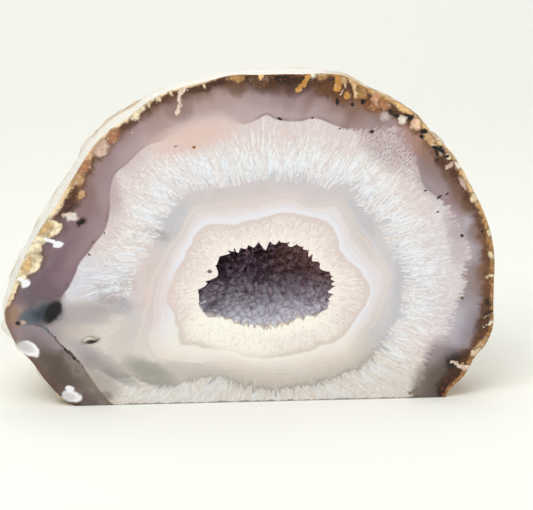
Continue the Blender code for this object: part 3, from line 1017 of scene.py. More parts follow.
# Mineral lumps, each with a darker ring round it that is this much wider: the lumps' dark
# outlines, painted as shade in a crevice round each lump
SHADE_RING_MM = 0.4
RIM_LUMPS = (
    (0.0965, 0.5, 0.7, 0.5, 0, 0.3, "crumb", 0.9),
    (0.0905, 2.0, 0.45, 1.3, 12, 0.3, "pale peach", 0.95),
    (0.0880, 0.4, 0.9, 0.5, 0, 0.3, "pale cream", 0.9),
    (0.0745, 1.4, 1.6, 0.5, 0, 0.4, "pale peach", 0.7),
    (0.0610, 0.6, 0.8, 0.9, 0, 0.3, "crumb", 0.9),
    (0.0330, 0.3, 0.7, 0.4, 0, 0.4, "cream", 0.8),
    (0.0175, 0.9, 0.8, 0.5, 0, 0.4, "crumb", 0.8),
    (0.0020, 0.8, 0.45, 0.8, 0, 0.4, "crumb", 0.8),
    (0.9520, 0.9, 1.6, 0.7, 0, 0.5, "sand", 0.7),
    (0.9460, 0.7, 0.9, 0.5, 0, 0.4, "crumb", 0.8),
    (0.2540, 0.2, 2.2, 2.0, 0, 0.1, "soot", 0.8),
    (0.2540, 0.2, 1.75, 1.6, 0, 0.1, "amber brown", 0.7),
    (0.2540, 0.2, 1.4, 1.25, 0, 0.1, "soot", 0.9),
    (0.2540, 0.2, 1.0, 0.9, 0, 0.15, "amber brown", 0.8),
    (0.2540, 0.1, 0.65, 0.55, 0, 0.3, "gold light", 1.0),
    (0.2725, 0.7, 1.5, 1.0, 0, 0.5, "golden", 0.95),
    (0.2155, 0.2, 0.9, 1.0, 0, 0.4, "pale cream", 0.9),
    (0.2085, 0.6, 1.2, 0.7, 0, 0.5, "golden", 0.8),
    (0.1858, 3.8, 0.6, 0.6, 0, 0.3, "ochre", 1.0),
    (0.1930, 1.0, 1.0, 0.6, 0, 0.5, "sand", 0.7),
    (0.1770, 1.6, 1.0, 1.2, 20, 0.5, "golden", 0.8),
    (0.1655, 1.3, 1.2, 1.0, 0, 0.4, "peach", 0.9),
    (0.1640, 3.0, 1.0, 0.8, 0, 0.5, "clay", 0.8),
    (0.1575, 1.8, 1.2, 1.0, 0, 0.5, "clay", 0.9),
    (0.1460, 0.2, 2.9, 0.75, 0, 0.3, "gold light", 0.95),
    (0.1520, 4.1, 0.9, 0.8, 20, 0.9, "milk pink", 0.7),
    (0.1410, 2.6, 1.2, 0.8, 0, 0.4, "pale cream", 0.85),
    (0.1305, 1.4, 1.1, 1.3, 0, 0.25, "shell", 1.0),
    (0.1150, 1.3, 2.4, 0.5, 0, 0.4, "sand", 0.85),
    (0.1030, 1.2, 0.8, 0.8, 0, 0.4, "pale peach", 0.8),
    (0.3870, 1.8, 2.0, 1.3, 0, 0.35, "pink shell", 0.95),
    (0.3745, 1.7, 1.7, 0.9, 20, 0.5, "clay", 0.85),
    (0.3495, 0.7, 1.9, 0.8, 0, 0.3, "cream", 0.95),
    (0.3400, 0.4, 0.35, 0.9, 0, 0.3, "crumb", 0.95),
    (0.3325, 0.5, 0.55, 0.8, 0, 0.3, "crumb", 0.95),
    (0.3220, 0.4, 0.45, 0.9, 0, 0.3, "crumb", 0.95),
    (0.4150, 1.2, 1.5, 1.0, 0, 0.4, "sand", 0.8),
    (0.4060, 1.0, 1.3, 0.9, 0, 0.4, "clay", 0.8),
    (0.4250, 3.5, 0.9, 0.8, 0, 0.4, "sand", 0.8),
    (0.4565, 1.9, 2.0, 2.5, 0, 0.15, "cream", 1.0),
    (0.4650, 0.9, 2.2, 1.3, 0, 0.2, "cream", 1.0),
    (0.4765, 1.1, 2.4, 1.4, 0, 0.2, "cream", 1.0),
    (0.4840, 1.9, 2.3, 2.4, 0, 0.12, "cream", 1.0),
    (0.4920, 1.0, 1.6, 1.3, 0, 0.2, "cream", 1.0),
    (0.5030, 0.3, 2.8, 0.8, 0, 0.3, "crumb", 0.95),
    (0.4835, 1.4, 1.2, 0.8, 0, 0.8, "gold light", 0.8),
    (0.4570, 1.0, 1.1, 0.9, 0, 0.8, "gold light", 0.7),
    (0.4445, 6.9, 0.9, 0.6, 0, 0.3, "black", 1.0),
)
RIM_STROKES = (
    ((0.9325, -0.6), (0.9328, 4.3), 0.6, 0.5, "tube", 1.0),
    ((0.9355, 1.6), (0.9345, 2.6), 0.2, 0.15, "sand", 0.8),
    ((0.9765, 0.4), (0.9725, 2.6), 0.2, 0.15, "crumb", 0.7),
    ((0.9700, 0.3), (0.9655, 2.4), 0.3, 0.15, "pale cream", 0.8),
    ((0.2195, 0.6), (0.2246, 3.4), 0.6, 0.62, "ochre", 1.0),
    ((0.1975, 0.8), (0.1955, 3.4), 0.7, 0.75, "ochre", 1.0),
    ((0.1865, 0.2), (0.1800, 3.0), 0.65, 0.45, "sand", 1.0),
    ((0.1912, 1.6), (0.1905, 4.0), 0.25, 0.25, "tube", 0.9),
    ((0.3130, 0.4), (0.3237, 5.2), 0.65, 0.5, "tube", 1.0),
    ((0.3108, 1.2), (0.3115, 2.6), 0.3, 0.25, "tube", 0.9),
    ((0.2975, -0.2), (0.2985, 1.1), 0.35, 0.3, "crumb", 1.0),
    ((0.2065, 3.3), (0.2030, 5.2), 0.13, 0.13, "soot", 0.9),
    ((0.2030, 5.2), (0.1970, 6.3), 0.13, 0.15, "soot", 0.9),
    ((0.1970, 6.3), (0.1905, 6.1), 0.15, 0.13, "soot", 0.9),
    ((0.1905, 6.1), (0.1842, 6.0), 0.13, 0.13, "soot", 0.9),
    ((0.1842, 6.0), (0.1780, 4.8), 0.15, 0.2, "soot", 0.9),
    ((0.2020, 3.6), (0.1965, 5.2), 0.1, 0.1, "dark umber", 0.7),
    ((0.1965, 5.2), (0.1900, 5.0), 0.1, 0.1, "dark umber", 0.7),
    ((0.1256, 1.6), (0.1160, 2.2), 0.12, 0.12, "black", 0.9),
    ((0.1160, 2.2), (0.1040, 2.4), 0.12, 0.2, "black", 0.9),
    ((0.4450, 2.8), (0.4435, 4.4), 0.5, 0.7, "tube", 0.9),
    ((0.4432, 4.7), (0.4431, 4.8), 1.1, 1.1, "bead beige", 1.0),
)
RIM_BLACKS = (
    (0.1080, 1.8, 0.9, 0.6, 0, 0.3, "black", 1.0),
    (0.1040, 2.6, 0.4, 0.3, 0, 0.3, "black", 1.0),
    (0.1215, 2.2, 0.5, 0.35, 0, 0.3, "black", 1.0),
    (0.1365, 1.1, 0.55, 0.9, 20, 0.3, "black", 1.0),
    (0.1395, 1.2, 0.5, 0.5, 0, 0.3, "black", 0.9),
    (0.1465, 2.5, 0.7, 0.4, 0, 0.3, "black", 1.0),
    (0.1520, 2.1, 0.6, 0.35, 0, 0.3, "black", 0.9),
    (0.1735, 3.1, 0.7, 0.6, 0, 0.3, "black", 1.0),
    (0.1790, 4.8, 0.5, 0.45, 0, 0.3, "black", 0.95),
    (0.1915, 5.8, 0.5, 0.45, 0, 0.3, "black", 1.0),
    (0.0360, 1.6, 0.3, 0.25, 0, 0.4, "black", 0.8),
    (0.0990, 3.2, 0.35, 0.35, 0, 0.4, "black", 0.9),
    (0.9835, 1.0, 0.9, 0.6, 0, 0.6, "black", 0.7),
    (0.9760, 1.2, 0.35, 1.2, 15, 0.5, "black", 0.8),
)
# White beads at the lower left of the rim, each with a taupe edge and a grey spot set off its
# middle: the bead's own duller middle, painted as shade on a rounded bead
RIM_BEADS = (
    (0.5403, 1.7, 2.2, 1.8, 0, 0.15, "taupe", 0.9),
    (0.5403, 1.7, 1.9, 1.5, 0, 0.2, "bead white", 1.0),
    (0.5380, 1.2, 1.1, 0.8, 20, 0.9, "lower grey", 0.6),
    (0.5828, 1.7, 2.1, 1.7, 0, 0.12, "taupe", 0.9),
    (0.5828, 1.7, 1.8, 1.4, 0, 0.2, "bead white", 1.0),
    (0.5815, 1.2, 0.9, 0.7, 0, 0.9, "lower grey", 0.5),
    (0.5770, 2.8, 0.9, 0.9, 0, 0.15, "bead white", 1.0),
)
BEAD_STROKES = (
    ((0.4935, 1.0), (0.4965, 2.4), 0.5, 0.6, "bead white", 1.0),
    ((0.4965, 2.5), (0.4968, 2.6), 0.95, 0.95, "bead white", 1.0),
    ((0.4640, 2.2), (0.4662, 5.2), 0.4, 0.4, "bead white", 1.0),
    ((0.4665, 5.5), (0.4666, 5.6), 0.95, 0.95, "bead white", 1.0),
)
# Specks: x, z, half width, half height, turn, paint
SPECK_SOFTNESS = 0.4
SPECKS = (
    (7.0, 65.0, 0.45, 0.3, -20, "black"),
    (14.2, 65.2, 0.22, 0.22, 0, "umber"),
    (20.4, 62.8, 0.2, 0.2, 0, "soot"),
    (27.6, 62.1, 0.55, 0.28, 25, "black"),
    (40.0, 48.5, 0.3, 0.2, 0, "soot"),
    (43.2, 46.8, 0.7, 0.22, 35, "black"),
    (44.8, 47.3, 0.45, 0.25, 40, "black"),
    (42.8, 43.4, 0.3, 0.2, 0, "soot"),
    (48.4, 37.8, 0.45, 0.4, 0, "dark umber"),
    (48.9, 23.4, 0.3, 0.3, 0, "umber"),
    (-12.2, 59.0, 0.35, 0.3, 0, "dark ochre"),
    (-8.8, 30.6, 0.55, 0.4, 0, "plum"),
    (-16.3, 59.2, 0.4, 0.15, 0, "plum"),
    (-32.4, 39.9, 0.25, 0.25, 0, "umber"),
    (-34.9, 37.9, 0.25, 0.2, 0, "umber"),
    (-36.0, 34.9, 0.3, 0.2, 0, "umber"),
    (-40.8, 28.4, 0.25, 0.25, 0, "umber"),
    (36.2, 65.1, 0.7, 0.4, 20, "black"),
    (39.4, 61.9, 0.6, 0.5, 0, "black"),
    (43.5, 57.3, 1.0, 0.5, -45, "black"),
    (44.7, 55.9, 0.5, 0.4, 0, "black"),
    (43.1, 58.2, 0.5, 0.4, 0, "black"),
)

# Rows of stops round the stone start at the right of the hollow and go anticlockwise, 1 being
# a whole turn. How ragged the fibres' outer ends are:
RAGGED_SHARE = (
    (0.00, 1.0), (0.06, 1.0), (0.074, 0.1), (0.104, 0.1), (0.12, 1.0), (0.15, 1.0),
    (0.19, 0.0), (0.87, 0.0), (0.91, 1.0), (1.00, 1.0),
)
# Paints from band to band: 1 where the fibres start, 5 at the mouth of the hollow. The second
# row is for the plainer quartz under the hollow.
QUARTZ_PAINTS = (
    (1.00, "milk pink"), (1.28, "fibre pink"), (1.55, "milk"), (1.78, "fibre tip"),
    (1.97, "band warm"), (2.08, "band grey"), (2.60, "band grey"), (2.90, "band warm"),
    (2.96, "band warm"), (3.05, "band peach"), (3.18, "band pink"), (3.30, "warm pale"),
    (3.55, "pale"), (3.80, "edge white"), (3.95, "edge white"), (3.99, "edge pink"),
    (4.10, "edge pink"), (4.25, "druse"), (4.50, "druse light"), (4.85, "druse glow"),
    (5.00, "druse glow"),
)
LOW_QUARTZ_PAINTS = (
    (1.00, "low pink"), (1.25, "low fibre"), (1.75, "low pink"), (1.87, "low fibre"),
    (1.95, "low grey"), (2.03, "low shadow"), (2.20, "low grey"), (2.42, "low band"),
    (3.00, "low pink"), (3.50, "low pale"), (3.75, "low white"), (3.95, "low white"),
    (3.99, "low pink"), (4.08, "low pink"), (4.22, "low druse"), (4.45, "low white"),
    (4.80, "low glow"), (5.00, "low glow"),
)
# Agate colours round the stone: next to the rind, in the middle, and next to the fibres
AGATE_OUTER = (
    (0.00, "chestnut"), (0.05, "fawn"), (0.083, "walnut"), (0.13, "chestnut"),
    (0.167, "chestnut"), (0.20, "walnut"), (0.25, "umber"), (0.29, "umber"),
    (0.333, "cocoa"), (0.38, "clay brown"), (0.417, "fawn"), (0.45, "plum brown"),
    (0.49, "smoke lilac"), (0.53, "mauve grey"), (0.56, "peat"), (0.60, "peat"),
    (0.90, "peat"), (0.94, "umber"), (0.97, "walnut"), (1.00, "chestnut"),
)
AGATE_MIDDLE = (
    (0.00, "mocha"), (0.02, "smoke lilac"), (0.05, "mocha"), (0.083, "cocoa"),
    (0.12, "clay brown"), (0.167, "clay brown"), (0.205, "plum brown"), (0.25, "mauve"),
    (0.28, "rose tan"), (0.333, "rose tan"), (0.37, "dusty mauve"), (0.417, "plum brown"),
    (0.45, "plum mauve"), (0.49, "plum"), (0.515, "smoke"), (0.54, "mauve grey"),
    (0.555, "smoke brown"), (0.60, "peat"), (0.90, "smoke brown"), (0.941, "smoke"),
    (0.946, "lilac"), (0.962, "slate lilac"), (0.985, "smoke lilac"), (1.00, "mocha"),
)
AGATE_INNER = (
    (0.00, "ash mauve"), (0.04, "pale lilac"), (0.06, "dusty mauve"), (0.083, "dusty mauve"),
    (0.12, "dusty mauve"), (0.167, "fawn mauve"), (0.25, "pale mauve"), (0.31, "pale mauve"),
    (0.333, "mauve rose"), (0.36, "mauve rose"), (0.40, "dusty mauve"), (0.45, "dusty mauve"),
    (0.49, "plum mauve"), (0.515, "smoke"), (0.54, "mauve grey"), (0.56, "taupe"),
    (0.60, "smoke brown"), (0.90, "olive grey"), (0.941, "smoke lilac"),
    (0.946, "pale lilac"), (0.97, "pale lilac"), (0.985, "lilac grey"), (1.00, "ash mauve"),
)
# Cut edge of the rind: its pale crumbs, and the dark band inside them
CRUMB_PAINTS = (
    (0.00, "bronze"), (0.05, "golden"), (0.065, "sand"), (0.10, "sand"), (0.12, "sand"),
    (0.15, "gold light"), (0.17, "ochre"), (0.20, "golden"), (0.22, "rust"), (0.26, "rust"),
    (0.275, "golden"), (0.285, "rust"), (0.31, "crumb"), (0.37, "crumb"), (0.40, "peach"),
    (0.42, "sand"), (0.45, "cream"), (0.505, "cream"), (0.525, "tan"), (0.56, "grey brown"),
    (0.88, "amber brown"), (0.92, "bronze"), (0.955, "bronze"), (1.00, "bronze"),
)
DARK_PAINTS = (
    (0.00, "umber"), (0.08, "dark umber"), (0.12, "umber"), (0.17, "dark umber"),
    (0.21, "dark umber"), (0.24, "soot"), (0.27, "dark umber"), (0.39, "umber"),
    (0.43, "dark umber"), (0.47, "plum"), (0.53, "cocoa"), (0.60, "soot"), (0.88, "soot"),
    (0.94, "dark umber"), (1.00, "umber"),
)
# Widths of both, in millimetres
CRUMB_WIDTHS = (
    (0.00, 1.1), (0.03, 1.4), (0.06, 1.1), (0.09, 1.1), (0.12, 1.2), (0.15, 1.0),
    (0.19, 0.8), (0.22, 0.3), (0.26, 0.2), (0.28, 0.3), (0.31, 0.6), (0.35, 0.8),
    (0.38, 0.9), (0.41, 1.6), (0.43, 1.3), (0.45, 1.4), (0.48, 1.5), (0.50, 1.0),
    (0.515, 0.3), (0.53, 0.0), (0.60, 0.0), (0.88, 0.5), (0.93, 1.0), (0.95, 1.5),
    (0.97, 0.9), (1.00, 1.2),
)
DARK_WIDTHS = (
    (0.00, 0.9), (0.05, 0.8), (0.10, 1.6), (0.15, 1.0), (0.20, 1.6), (0.24, 1.6),
    (0.28, 0.9), (0.33, 0.9), (0.37, 0.8), (0.40, 0.9), (0.43, 1.0), (0.48, 0.6),
    (0.52, 0.2), (0.54, 0.5), (0.62, 0.6), (0.88, 1.0), (0.94, 1.6), (0.97, 1.8),
    (1.00, 0.9),
)
# How strong the pale flecks in the crumbs are, and how far the drips of the agate reach
PALE_FLECKS = (
    (0.00, 0.45), (0.10, 0.75), (0.20, 0.8), (0.24, 0.4), (0.31, 0.85), (0.34, 0.6),
    (0.42, 0.9), (0.55, 0.8), (0.88, 0.3), (1.00, 0.45),
)
DRIP_REACH = (
    (0.00, 0.6), (0.05, 0.7), (0.10, 0.6), (0.15, 0.4), (0.20, 0.6), (0.25, 0.4),
    (0.40, 0.2), (0.50, 0.2), (0.60, 0.2), (0.88, 0.3), (0.94, 0.5), (1.00, 0.6),
)
# Other rows of stops: shaded agate at the lower left, rind and sawn base by how light their
# patches are, and crystals by their height in millimetres, pale low in the hollow and dark high
# up as painted light and shade
SHADOW_PAINTS = (
    (0.3, "grey brown"), (0.5, "smoke brown"), (0.62, "taupe"), (0.75, "grey brown"),
)
RIND_PAINTS = (
    (0.34, "rind brown"), (0.42, "rind tan"), (0.49, "rind straw"), (0.56, "rind beige"),
    (0.68, "pale cream"),
)
BASE_PAINTS = ((0.3, "taupe"), (0.5, "lower grey"), (0.7, "band warm"))
CRYSTAL_SHADE_BY_HEIGHT = (
    (17, "crystal pale"), (21.5, "crystal grey"), (26, "crystal mauve"), (30.5, "crystal dark"),
    (35, "crystal deep"),
)
# Fibre streaks: how many in a millimetre, how much of a band they run through, and detail
COARSE_STREAKS = (0.4, 1.0, 2.0)
FINE_STREAKS = (1.5, 0.7, 2.0)
HAIR_STREAKS = (2.6, 0.5, 3.0)
BORDER_STREAKS = (1.6, 0.5, 2.0)
DRUSE_STREAKS = (1.3, 0.28, 3.0)


class Face:
    """Values that the painting of the polished face shares."""

    def __init__(self, wiring):
        self.w = w = wiring
        where = w.group(face_position)
        self.position, self.turn, self.direction = (
            where[name] for name in ("Position", "Turn", "Direction"))
        self.wander = self.drift(0.35, 3)
        self.band = w.attribute("band")
        self.rim = w.attribute("rim")
        self.right = w.levels(self.turn, RAGGED_SHARE)
        self.haze = w.between(self.turn, 0.272, 0.295, 0.325, 0.348)

    def drift(self, scale, detail=2):
        """A small vector that wanders over the face, up to about a quarter each way."""
        cloud = self.w.noise(self.position, scale, detail, 0.6, colour=True)
        return self.w.vector("SUBTRACT", cloud, (0.5, 0.5, 0.5))

    def rough_places(self):
        """Places on the face, and along and across its rim, for marks with uneven outlines."""
        w = self.w
        fine = w.stretch(self.drift(1.5), 0.6)
        along_rim = w.join(w.times(self.turn, RIM_LENGTH_MM), 0.0, self.rim)
        spot, rim_place = (
            w.vector("ADD", w.vector("ADD", where, w.stretch(self.wander, reach)), fine)
            for where, reach in ((self.position, 1.3), (along_rim, 2.8)))
        return spot, rim_place, w.vector("ADD", along_rim, w.stretch(self.wander, 1.8))

    def streaks(self, across, length, detail, sway):
        return self.w.group(crystal_streaks, {
            "Direction": self.direction, "Band": self.band, "Across": across,
            "Length": length, "Detail": detail, "Sway": sway,
        })["Value"]

    def scallops(self, width):
        return self.w.group(growth_scallops, {
            "Direction": self.direction, "Width": width,
            "Sway": self.w.stretch(self.wander, 0.3),
        })["Value"]


def quartz_place(face, coarse, fine):
    """Place among the quartz bands, with ragged fibre ends, bulges round the pale band and
    cusps round the druse. Also how far it counts as the plainer quartz under the hollow."""
    w, band = face.w, face.band
    fringe = w.between(band, 1.3, 1.95, 2.05, 2.7)
    ragged = w.minus(w.plus(w.times(fine, 0.55), w.times(coarse, 0.45)), 0.5)
    bulges = w.times(w.minus(face.scallops(5.5), 0.5), w.between(band, 2.5, 3.0, 3.4, 3.9), -0.13)
    cusps = w.times(w.minus(face.scallops(2.6), 0.5), w.between(band, 3.5, 3.95, 4.05, 4.3), -0.07)
    wavy = w.times(w.minus(w.noise(face.position, 0.3, 2), 0.5), 0.12)
    low = w.between(face.turn, 0.53, 0.60, 0.885, 0.945)
    frayed = w.times(ragged, fringe, w.minus(2.2, low))
    return w.plus(band, frayed, wavy, bulges, cusps), low


def paint_quartz(face, spot):
    """Fibrous, grey, pale and druse bands inside the agate."""
    w, band = face.w, face.band
    tints, freckled = Coat(w), Coat(w)
    tints.spots(spot, FIBRE_TINTS)
    freckled.spots(spot, FRECKLED)
    sway = w.vector("ADD", w.stretch(face.drift(0.075), 6.0), w.stretch(face.wander, 0.15))
    coarse = face.streaks(*COARSE_STREAKS, sway)
    fine = face.streaks(*FINE_STREAKS, sway)
    hair = face.streaks(*HAIR_STREAKS, sway)
    patch = w.noise(w.vector("ADD", face.position, (40, 0, 0)), 0.2, 2, 0.6)
    place, low = quartz_place(face, coarse, fine)
    colour = w.mix(low, w.paints(place, QUARTZ_PAINTS, 1, 5),
                   w.paints(place, LOW_QUARTZ_PAINTS, 1, 5))
    colour = tints.over(colour)

    lines = w.noise(w.join(w.times(place, 6.5), w.times(face.turn, 3.0), 0.0), 1.0, 3.0)
    banded = w.between(place, 2.5, 3.1, 3.7, 3.95)
    greys = w.between(place, 1.95, 2.2, 2.7, 3.2)
    colour = w.layers(colour, (
        (lines, 0.5, 0.7, "edge white", banded, 0.4),
        (lines, 0.5, 0.3, "band grey", banded, 0.32),
        (coarse, 0.5, 0.7, "band pink", greys, 0.3),
        (patch, 0.5, 0.3, "low grey", greys, 0.25),
    ))

    fibrous = w.between(place, 0.7, 1.7, 1.93, 2.10)
    tips = w.times(w.rise(band, 1.25, 1.8), w.rise(patch, 0.25, 0.55))
    grains = w.noise(face.position, 1.5, 2)
    colour = w.layers(colour, (
        (coarse, 0.50, 0.34, "milk pink", fibrous, 0.35),
        (coarse, 0.42, 0.62, "cool white", tips, fibrous, 0.85),
        (fine, 0.48, 0.70, "bright white", fibrous, 0.5),
        (fine, 0.50, 0.30, "hair shade", fibrous, 0.45),
        (hair, 0.50, 0.66, "bright white", fibrous, 0.65),
        (hair, 0.48, 0.32, "hair shade", fibrous, 0.55),
        (grains, 0.52, 0.68, "bright white", fibrous, 0.45),
        (grains, 0.46, 0.30, "hair shade", fibrous, 0.3),
    ))
    colour = w.tint(colour, "low fibre", low, fibrous, 0.4)

    speckled = w.plus(w.times(face.right, w.rise(band, 1.3, 1.0), 0.35), freckled.cover)
    dashes = w.noise(w.vector("ADD", w.stretch(face.direction, 75.0), face.position), 1.2, 2)
    columns = face.streaks(*DRUSE_STREAKS, face.wander)
    druse = w.rise(place, 4.02, 4.2)
    return w.layers(colour, (
        (dashes, 0.50, 0.61, "plum mauve", speckled, 0.75),
        (columns, 0.48, 0.68, "druse glow", druse, 0.65),
        (columns, 0.50, 0.32, "druse shade", druse, 0.4),
        (grains, 0.54, 0.70, "bright white", druse, 0.6),
        (grains, 0.46, 0.28, "druse shade", druse, 0.4),
    ))


def paint_agate(face):
    """Translucent agate between the rind and the fibrous band, with drips of its outer
    colours, a thin line along the fibres and pale dust at the upper left."""
    w = face.w
    outer, middle, inner = (
        w.paints(face.turn, row) for row in (AGATE_OUTER, AGATE_MIDDLE, AGATE_INNER))
    cloud = w.times(w.minus(w.noise(face.position, 0.16, 2), 0.5), 0.6)
    drips = w.minus(w.noise(w.stretch(face.direction, STREAK_REACH_MM), 0.22, 1, 0.5), 0.5)
    reach = w.times(drips, w.levels(face.turn, DRIP_REACH), 1.6)
    place = w.minus(w.plus(face.band, cloud), reach)
    colour = w.mix(w.rise(place, 0.10, 0.55), outer, middle)
    colour = w.mix(w.rise(place, 0.45, 0.98), colour, inner)
    sharp = w.minus(1.0, w.plus(face.right, face.haze))
    line = w.between(face.band, 0.90, 0.985, 0.99, 1.03)
    dust = w.cells(face.position, 0.3)
    return w.layers(colour, (
        (drips, -0.2, 0.15, "rose line", line, sharp, 0.6),
        (dust, 0.05, 0.03, "bead white", w.between(face.turn, 0.19, 0.22, 0.49, 0.52), 0.7),
    ))


def paint_shadow(face, place, colour):
    """Shaded agate below the straight edge at the lower left."""
    w = face.w
    height = w.split(place)[2]
    below = w.times(w.rise(height, 13.7, 13.1), w.between(face.turn, 0.50, 0.52, 0.70, 0.72),
                    w.rise(face.band, 1.01, 0.98), 0.95)
    return w.mix(below, colour, w.paints(w.noise(face.position, 0.22, 2), SHADOW_PAINTS))


def paint_rim(face, colour):
    """The cut edge of the rind: an uneven dark band, and pale crumbs outside it."""
    w = face.w
    along = w.join(w.times(face.turn, RIM_LENGTH_MM), 0.0, 0.0)
    broken = w.rise(w.noise(along, 0.28, 3, 0.6), 0.3, 0.68)
    ragged = w.minus(w.noise(face.position, 0.7, 4, 0.65), 0.5)
    crumbs = w.levels(face.turn, CRUMB_WIDTHS)
    crumbs = w.math("MULTIPLY_ADD", ragged, w.times(crumbs, 2.6), crumbs)
    dark = w.plus(crumbs, w.times(w.levels(face.turn, DARK_WIDTHS), broken, 1.3),
                  w.times(ragged, 0.7))
    mask = w.rise(face.rim, w.plus(dark, 1.8), w.minus(dark, 0.6))
    fleck = w.noise(face.position, 1.2, 3, 0.7)
    shadow = w.layers(w.paints(face.turn, DARK_PAINTS), ((fleck, 0.50, 0.66, "rust", 0.7),))
    colour = w.mix(w.times(mask, 0.92), colour, shadow)
    rind = w.layers(w.paints(face.turn, CRUMB_PAINTS), (
        (fleck, 0.50, 0.64, "crumb", w.levels(face.turn, PALE_FLECKS)),
        (fleck, 0.43, 0.30, "dark umber", 0.8),
        (face.rim, w.times(crumbs, 0.3), crumbs, "rust", 0.6),
    ))
    return w.mix(w.rise(face.rim, w.plus(crumbs, 0.2), w.minus(crumbs, 0.35)), colour, rind)


def paint_grain(face, coat, colour):
    """Cracks, stains and glints in the mineral lumps of the rim."""
    w = face.w
    lumps = w.cells(face.position, 0.8)
    fleck = w.noise(face.position, 1.1, 3, 0.65)
    edge = w.rise(face.rim, 5.5, 3.5)
    return w.layers(colour, (
        (lumps, 0.38, 0.62, "amber brown", coat.cover, edge, 0.28),
        (fleck, 0.46, 0.30, "rust", coat.cover, edge, 0.4),
        (fleck, 0.54, 0.70, "pale cream", coat.cover, edge, 0.5),
    ))


def new_material(name):
    """A material with its wiring and its shader."""
    material = bpy.data.materials.new(name)
    material.use_nodes = True
    shader = material.node_tree.nodes["Principled BSDF"]
    return material, Wiring(material.node_tree), shader


def plain_material(name, colour, roughness):
    material, _, shader = new_material(name)
    shader.inputs["Base Color"].default_value = colour
    shader.inputs["Roughness"].default_value = roughness
    return material


def agate_material(polish):
    material, w, shader = new_material("polished_agate")
    face = Face(w)
    spot, rim_place, bead_place = face.rough_places()
    zones, marks, blacks = Coat(w), Coat(w), Coat(w)
    zones.spots(spot, AGATE_SPOTS + ZONE_SPOTS + LOWER_SPOTS)
    zones.strokes(spot, CRACK_STROKES)
    zones.spots(spot, MARK_SPOTS)
    zones.spots(rim_place, RIM_SHADES, RIM_LENGTH_MM)
    for lump in RIM_LUMPS:
        along, depth, across, up, turn, _, _, _ = lump
        # Painted shade: a darker, wider ring laid under each lump
        crease = (along, depth, across + SHADE_RING_MM, up + SHADE_RING_MM, turn, 0.4, "umber", 0.6)
        marks.spots(rim_place, (crease, lump), RIM_LENGTH_MM)
    marks.strokes(rim_place, RIM_STROKES, RIM_LENGTH_MM)
    blacks.spots(rim_place, RIM_BLACKS, RIM_LENGTH_MM)
    blacks.spots(bead_place, RIM_BEADS, RIM_LENGTH_MM)
    blacks.strokes(bead_place, BEAD_STROKES, RIM_LENGTH_MM)
    blacks.spots(spot, [(*oval, SPECK_SOFTNESS, name, 1.0) for *oval, name in SPECKS])
    agate = paint_shadow(face, spot, paint_agate(face))
    hairs = face.streaks(*BORDER_STREAKS, face.wander)
    border = w.plus(face.band, w.times(w.minus(hairs, 0.5), face.right, 0.6))
    soft = w.plus(w.times(face.right, 0.05), w.times(face.haze, 0.3))
    quartz = w.rise(border, w.minus(0.98, soft), w.plus(1.02, soft))
    colour = w.mix(quartz, agate, paint_quartz(face, spot))
    colour = marks.over(paint_rim(face, zones.over(colour)))
    colour = blacks.over(paint_grain(face, marks, colour))
    height = w.split(spot)[2]
    # Thin darker line along the very bottom of the face, a painted contact shadow where the stone
    # stands on the floor
    w.feed(shader.inputs["Base Color"],
           w.layers(colour, ((height, 0.45, 0.1, "grey brown", 0.7),)))
    shader.inputs["Roughness"].default_value = polish
    shader.inputs["Specular IOR Level"].default_value = 0.3
    return material


def rind_material():
    material, w, shader = new_material("natural_rind")
    where = w.group(face_position)
    position, turn = where["Position"], where["Turn"]
    patch = w.noise(position, 0.10, 4, 0.65)
    crust = w.noise(w.vector("ADD", position, (0, 30, 0)), 0.45, 4, 0.7)
    pits = w.cells(position, 0.55)
    front = w.plus(w.split(position)[1], w.times(patch, 14.0))
    colour = w.paints(w.plus(w.times(patch, 0.65), w.times(crust, 0.35)), RIND_PAINTS)
    w.feed(shader.inputs["Base Color"], w.layers(colour, (
        (crust, 0.46, 0.34, "amber brown", 0.4),
        (pits, 0.45, 0.85, "rust", 0.35),
        # Near white on the rind's front from the top round to the left: the pale rind, with a
        # painted highlight of strong light from above
        (front, 26.0, 13.0, "rind highlight white", w.between(turn, 0.17, 0.22, 0.54, 0.60), 0.95),
    )))
    shader.inputs["Roughness"].default_value = 0.75
    rough = w.plus(crust, w.times(w.rise(pits, 0.75, 0.35), 0.12))
    bump = w.add("ShaderNodeBump", {"Height": rough, "Distance": 1.0 * MM, "Strength": 0.9})
    w.feed(shader.inputs["Normal"], bump.outputs[0])
    return material


def base_material():
    material, w, shader = new_material("sawn_base")
    patch = w.noise(w.group(face_position)["Position"], 0.08, 3, 0.6)
    w.feed(shader.inputs["Base Color"], w.paints(patch, BASE_PAINTS))
    shader.inputs["Roughness"].default_value = 0.5
    return material


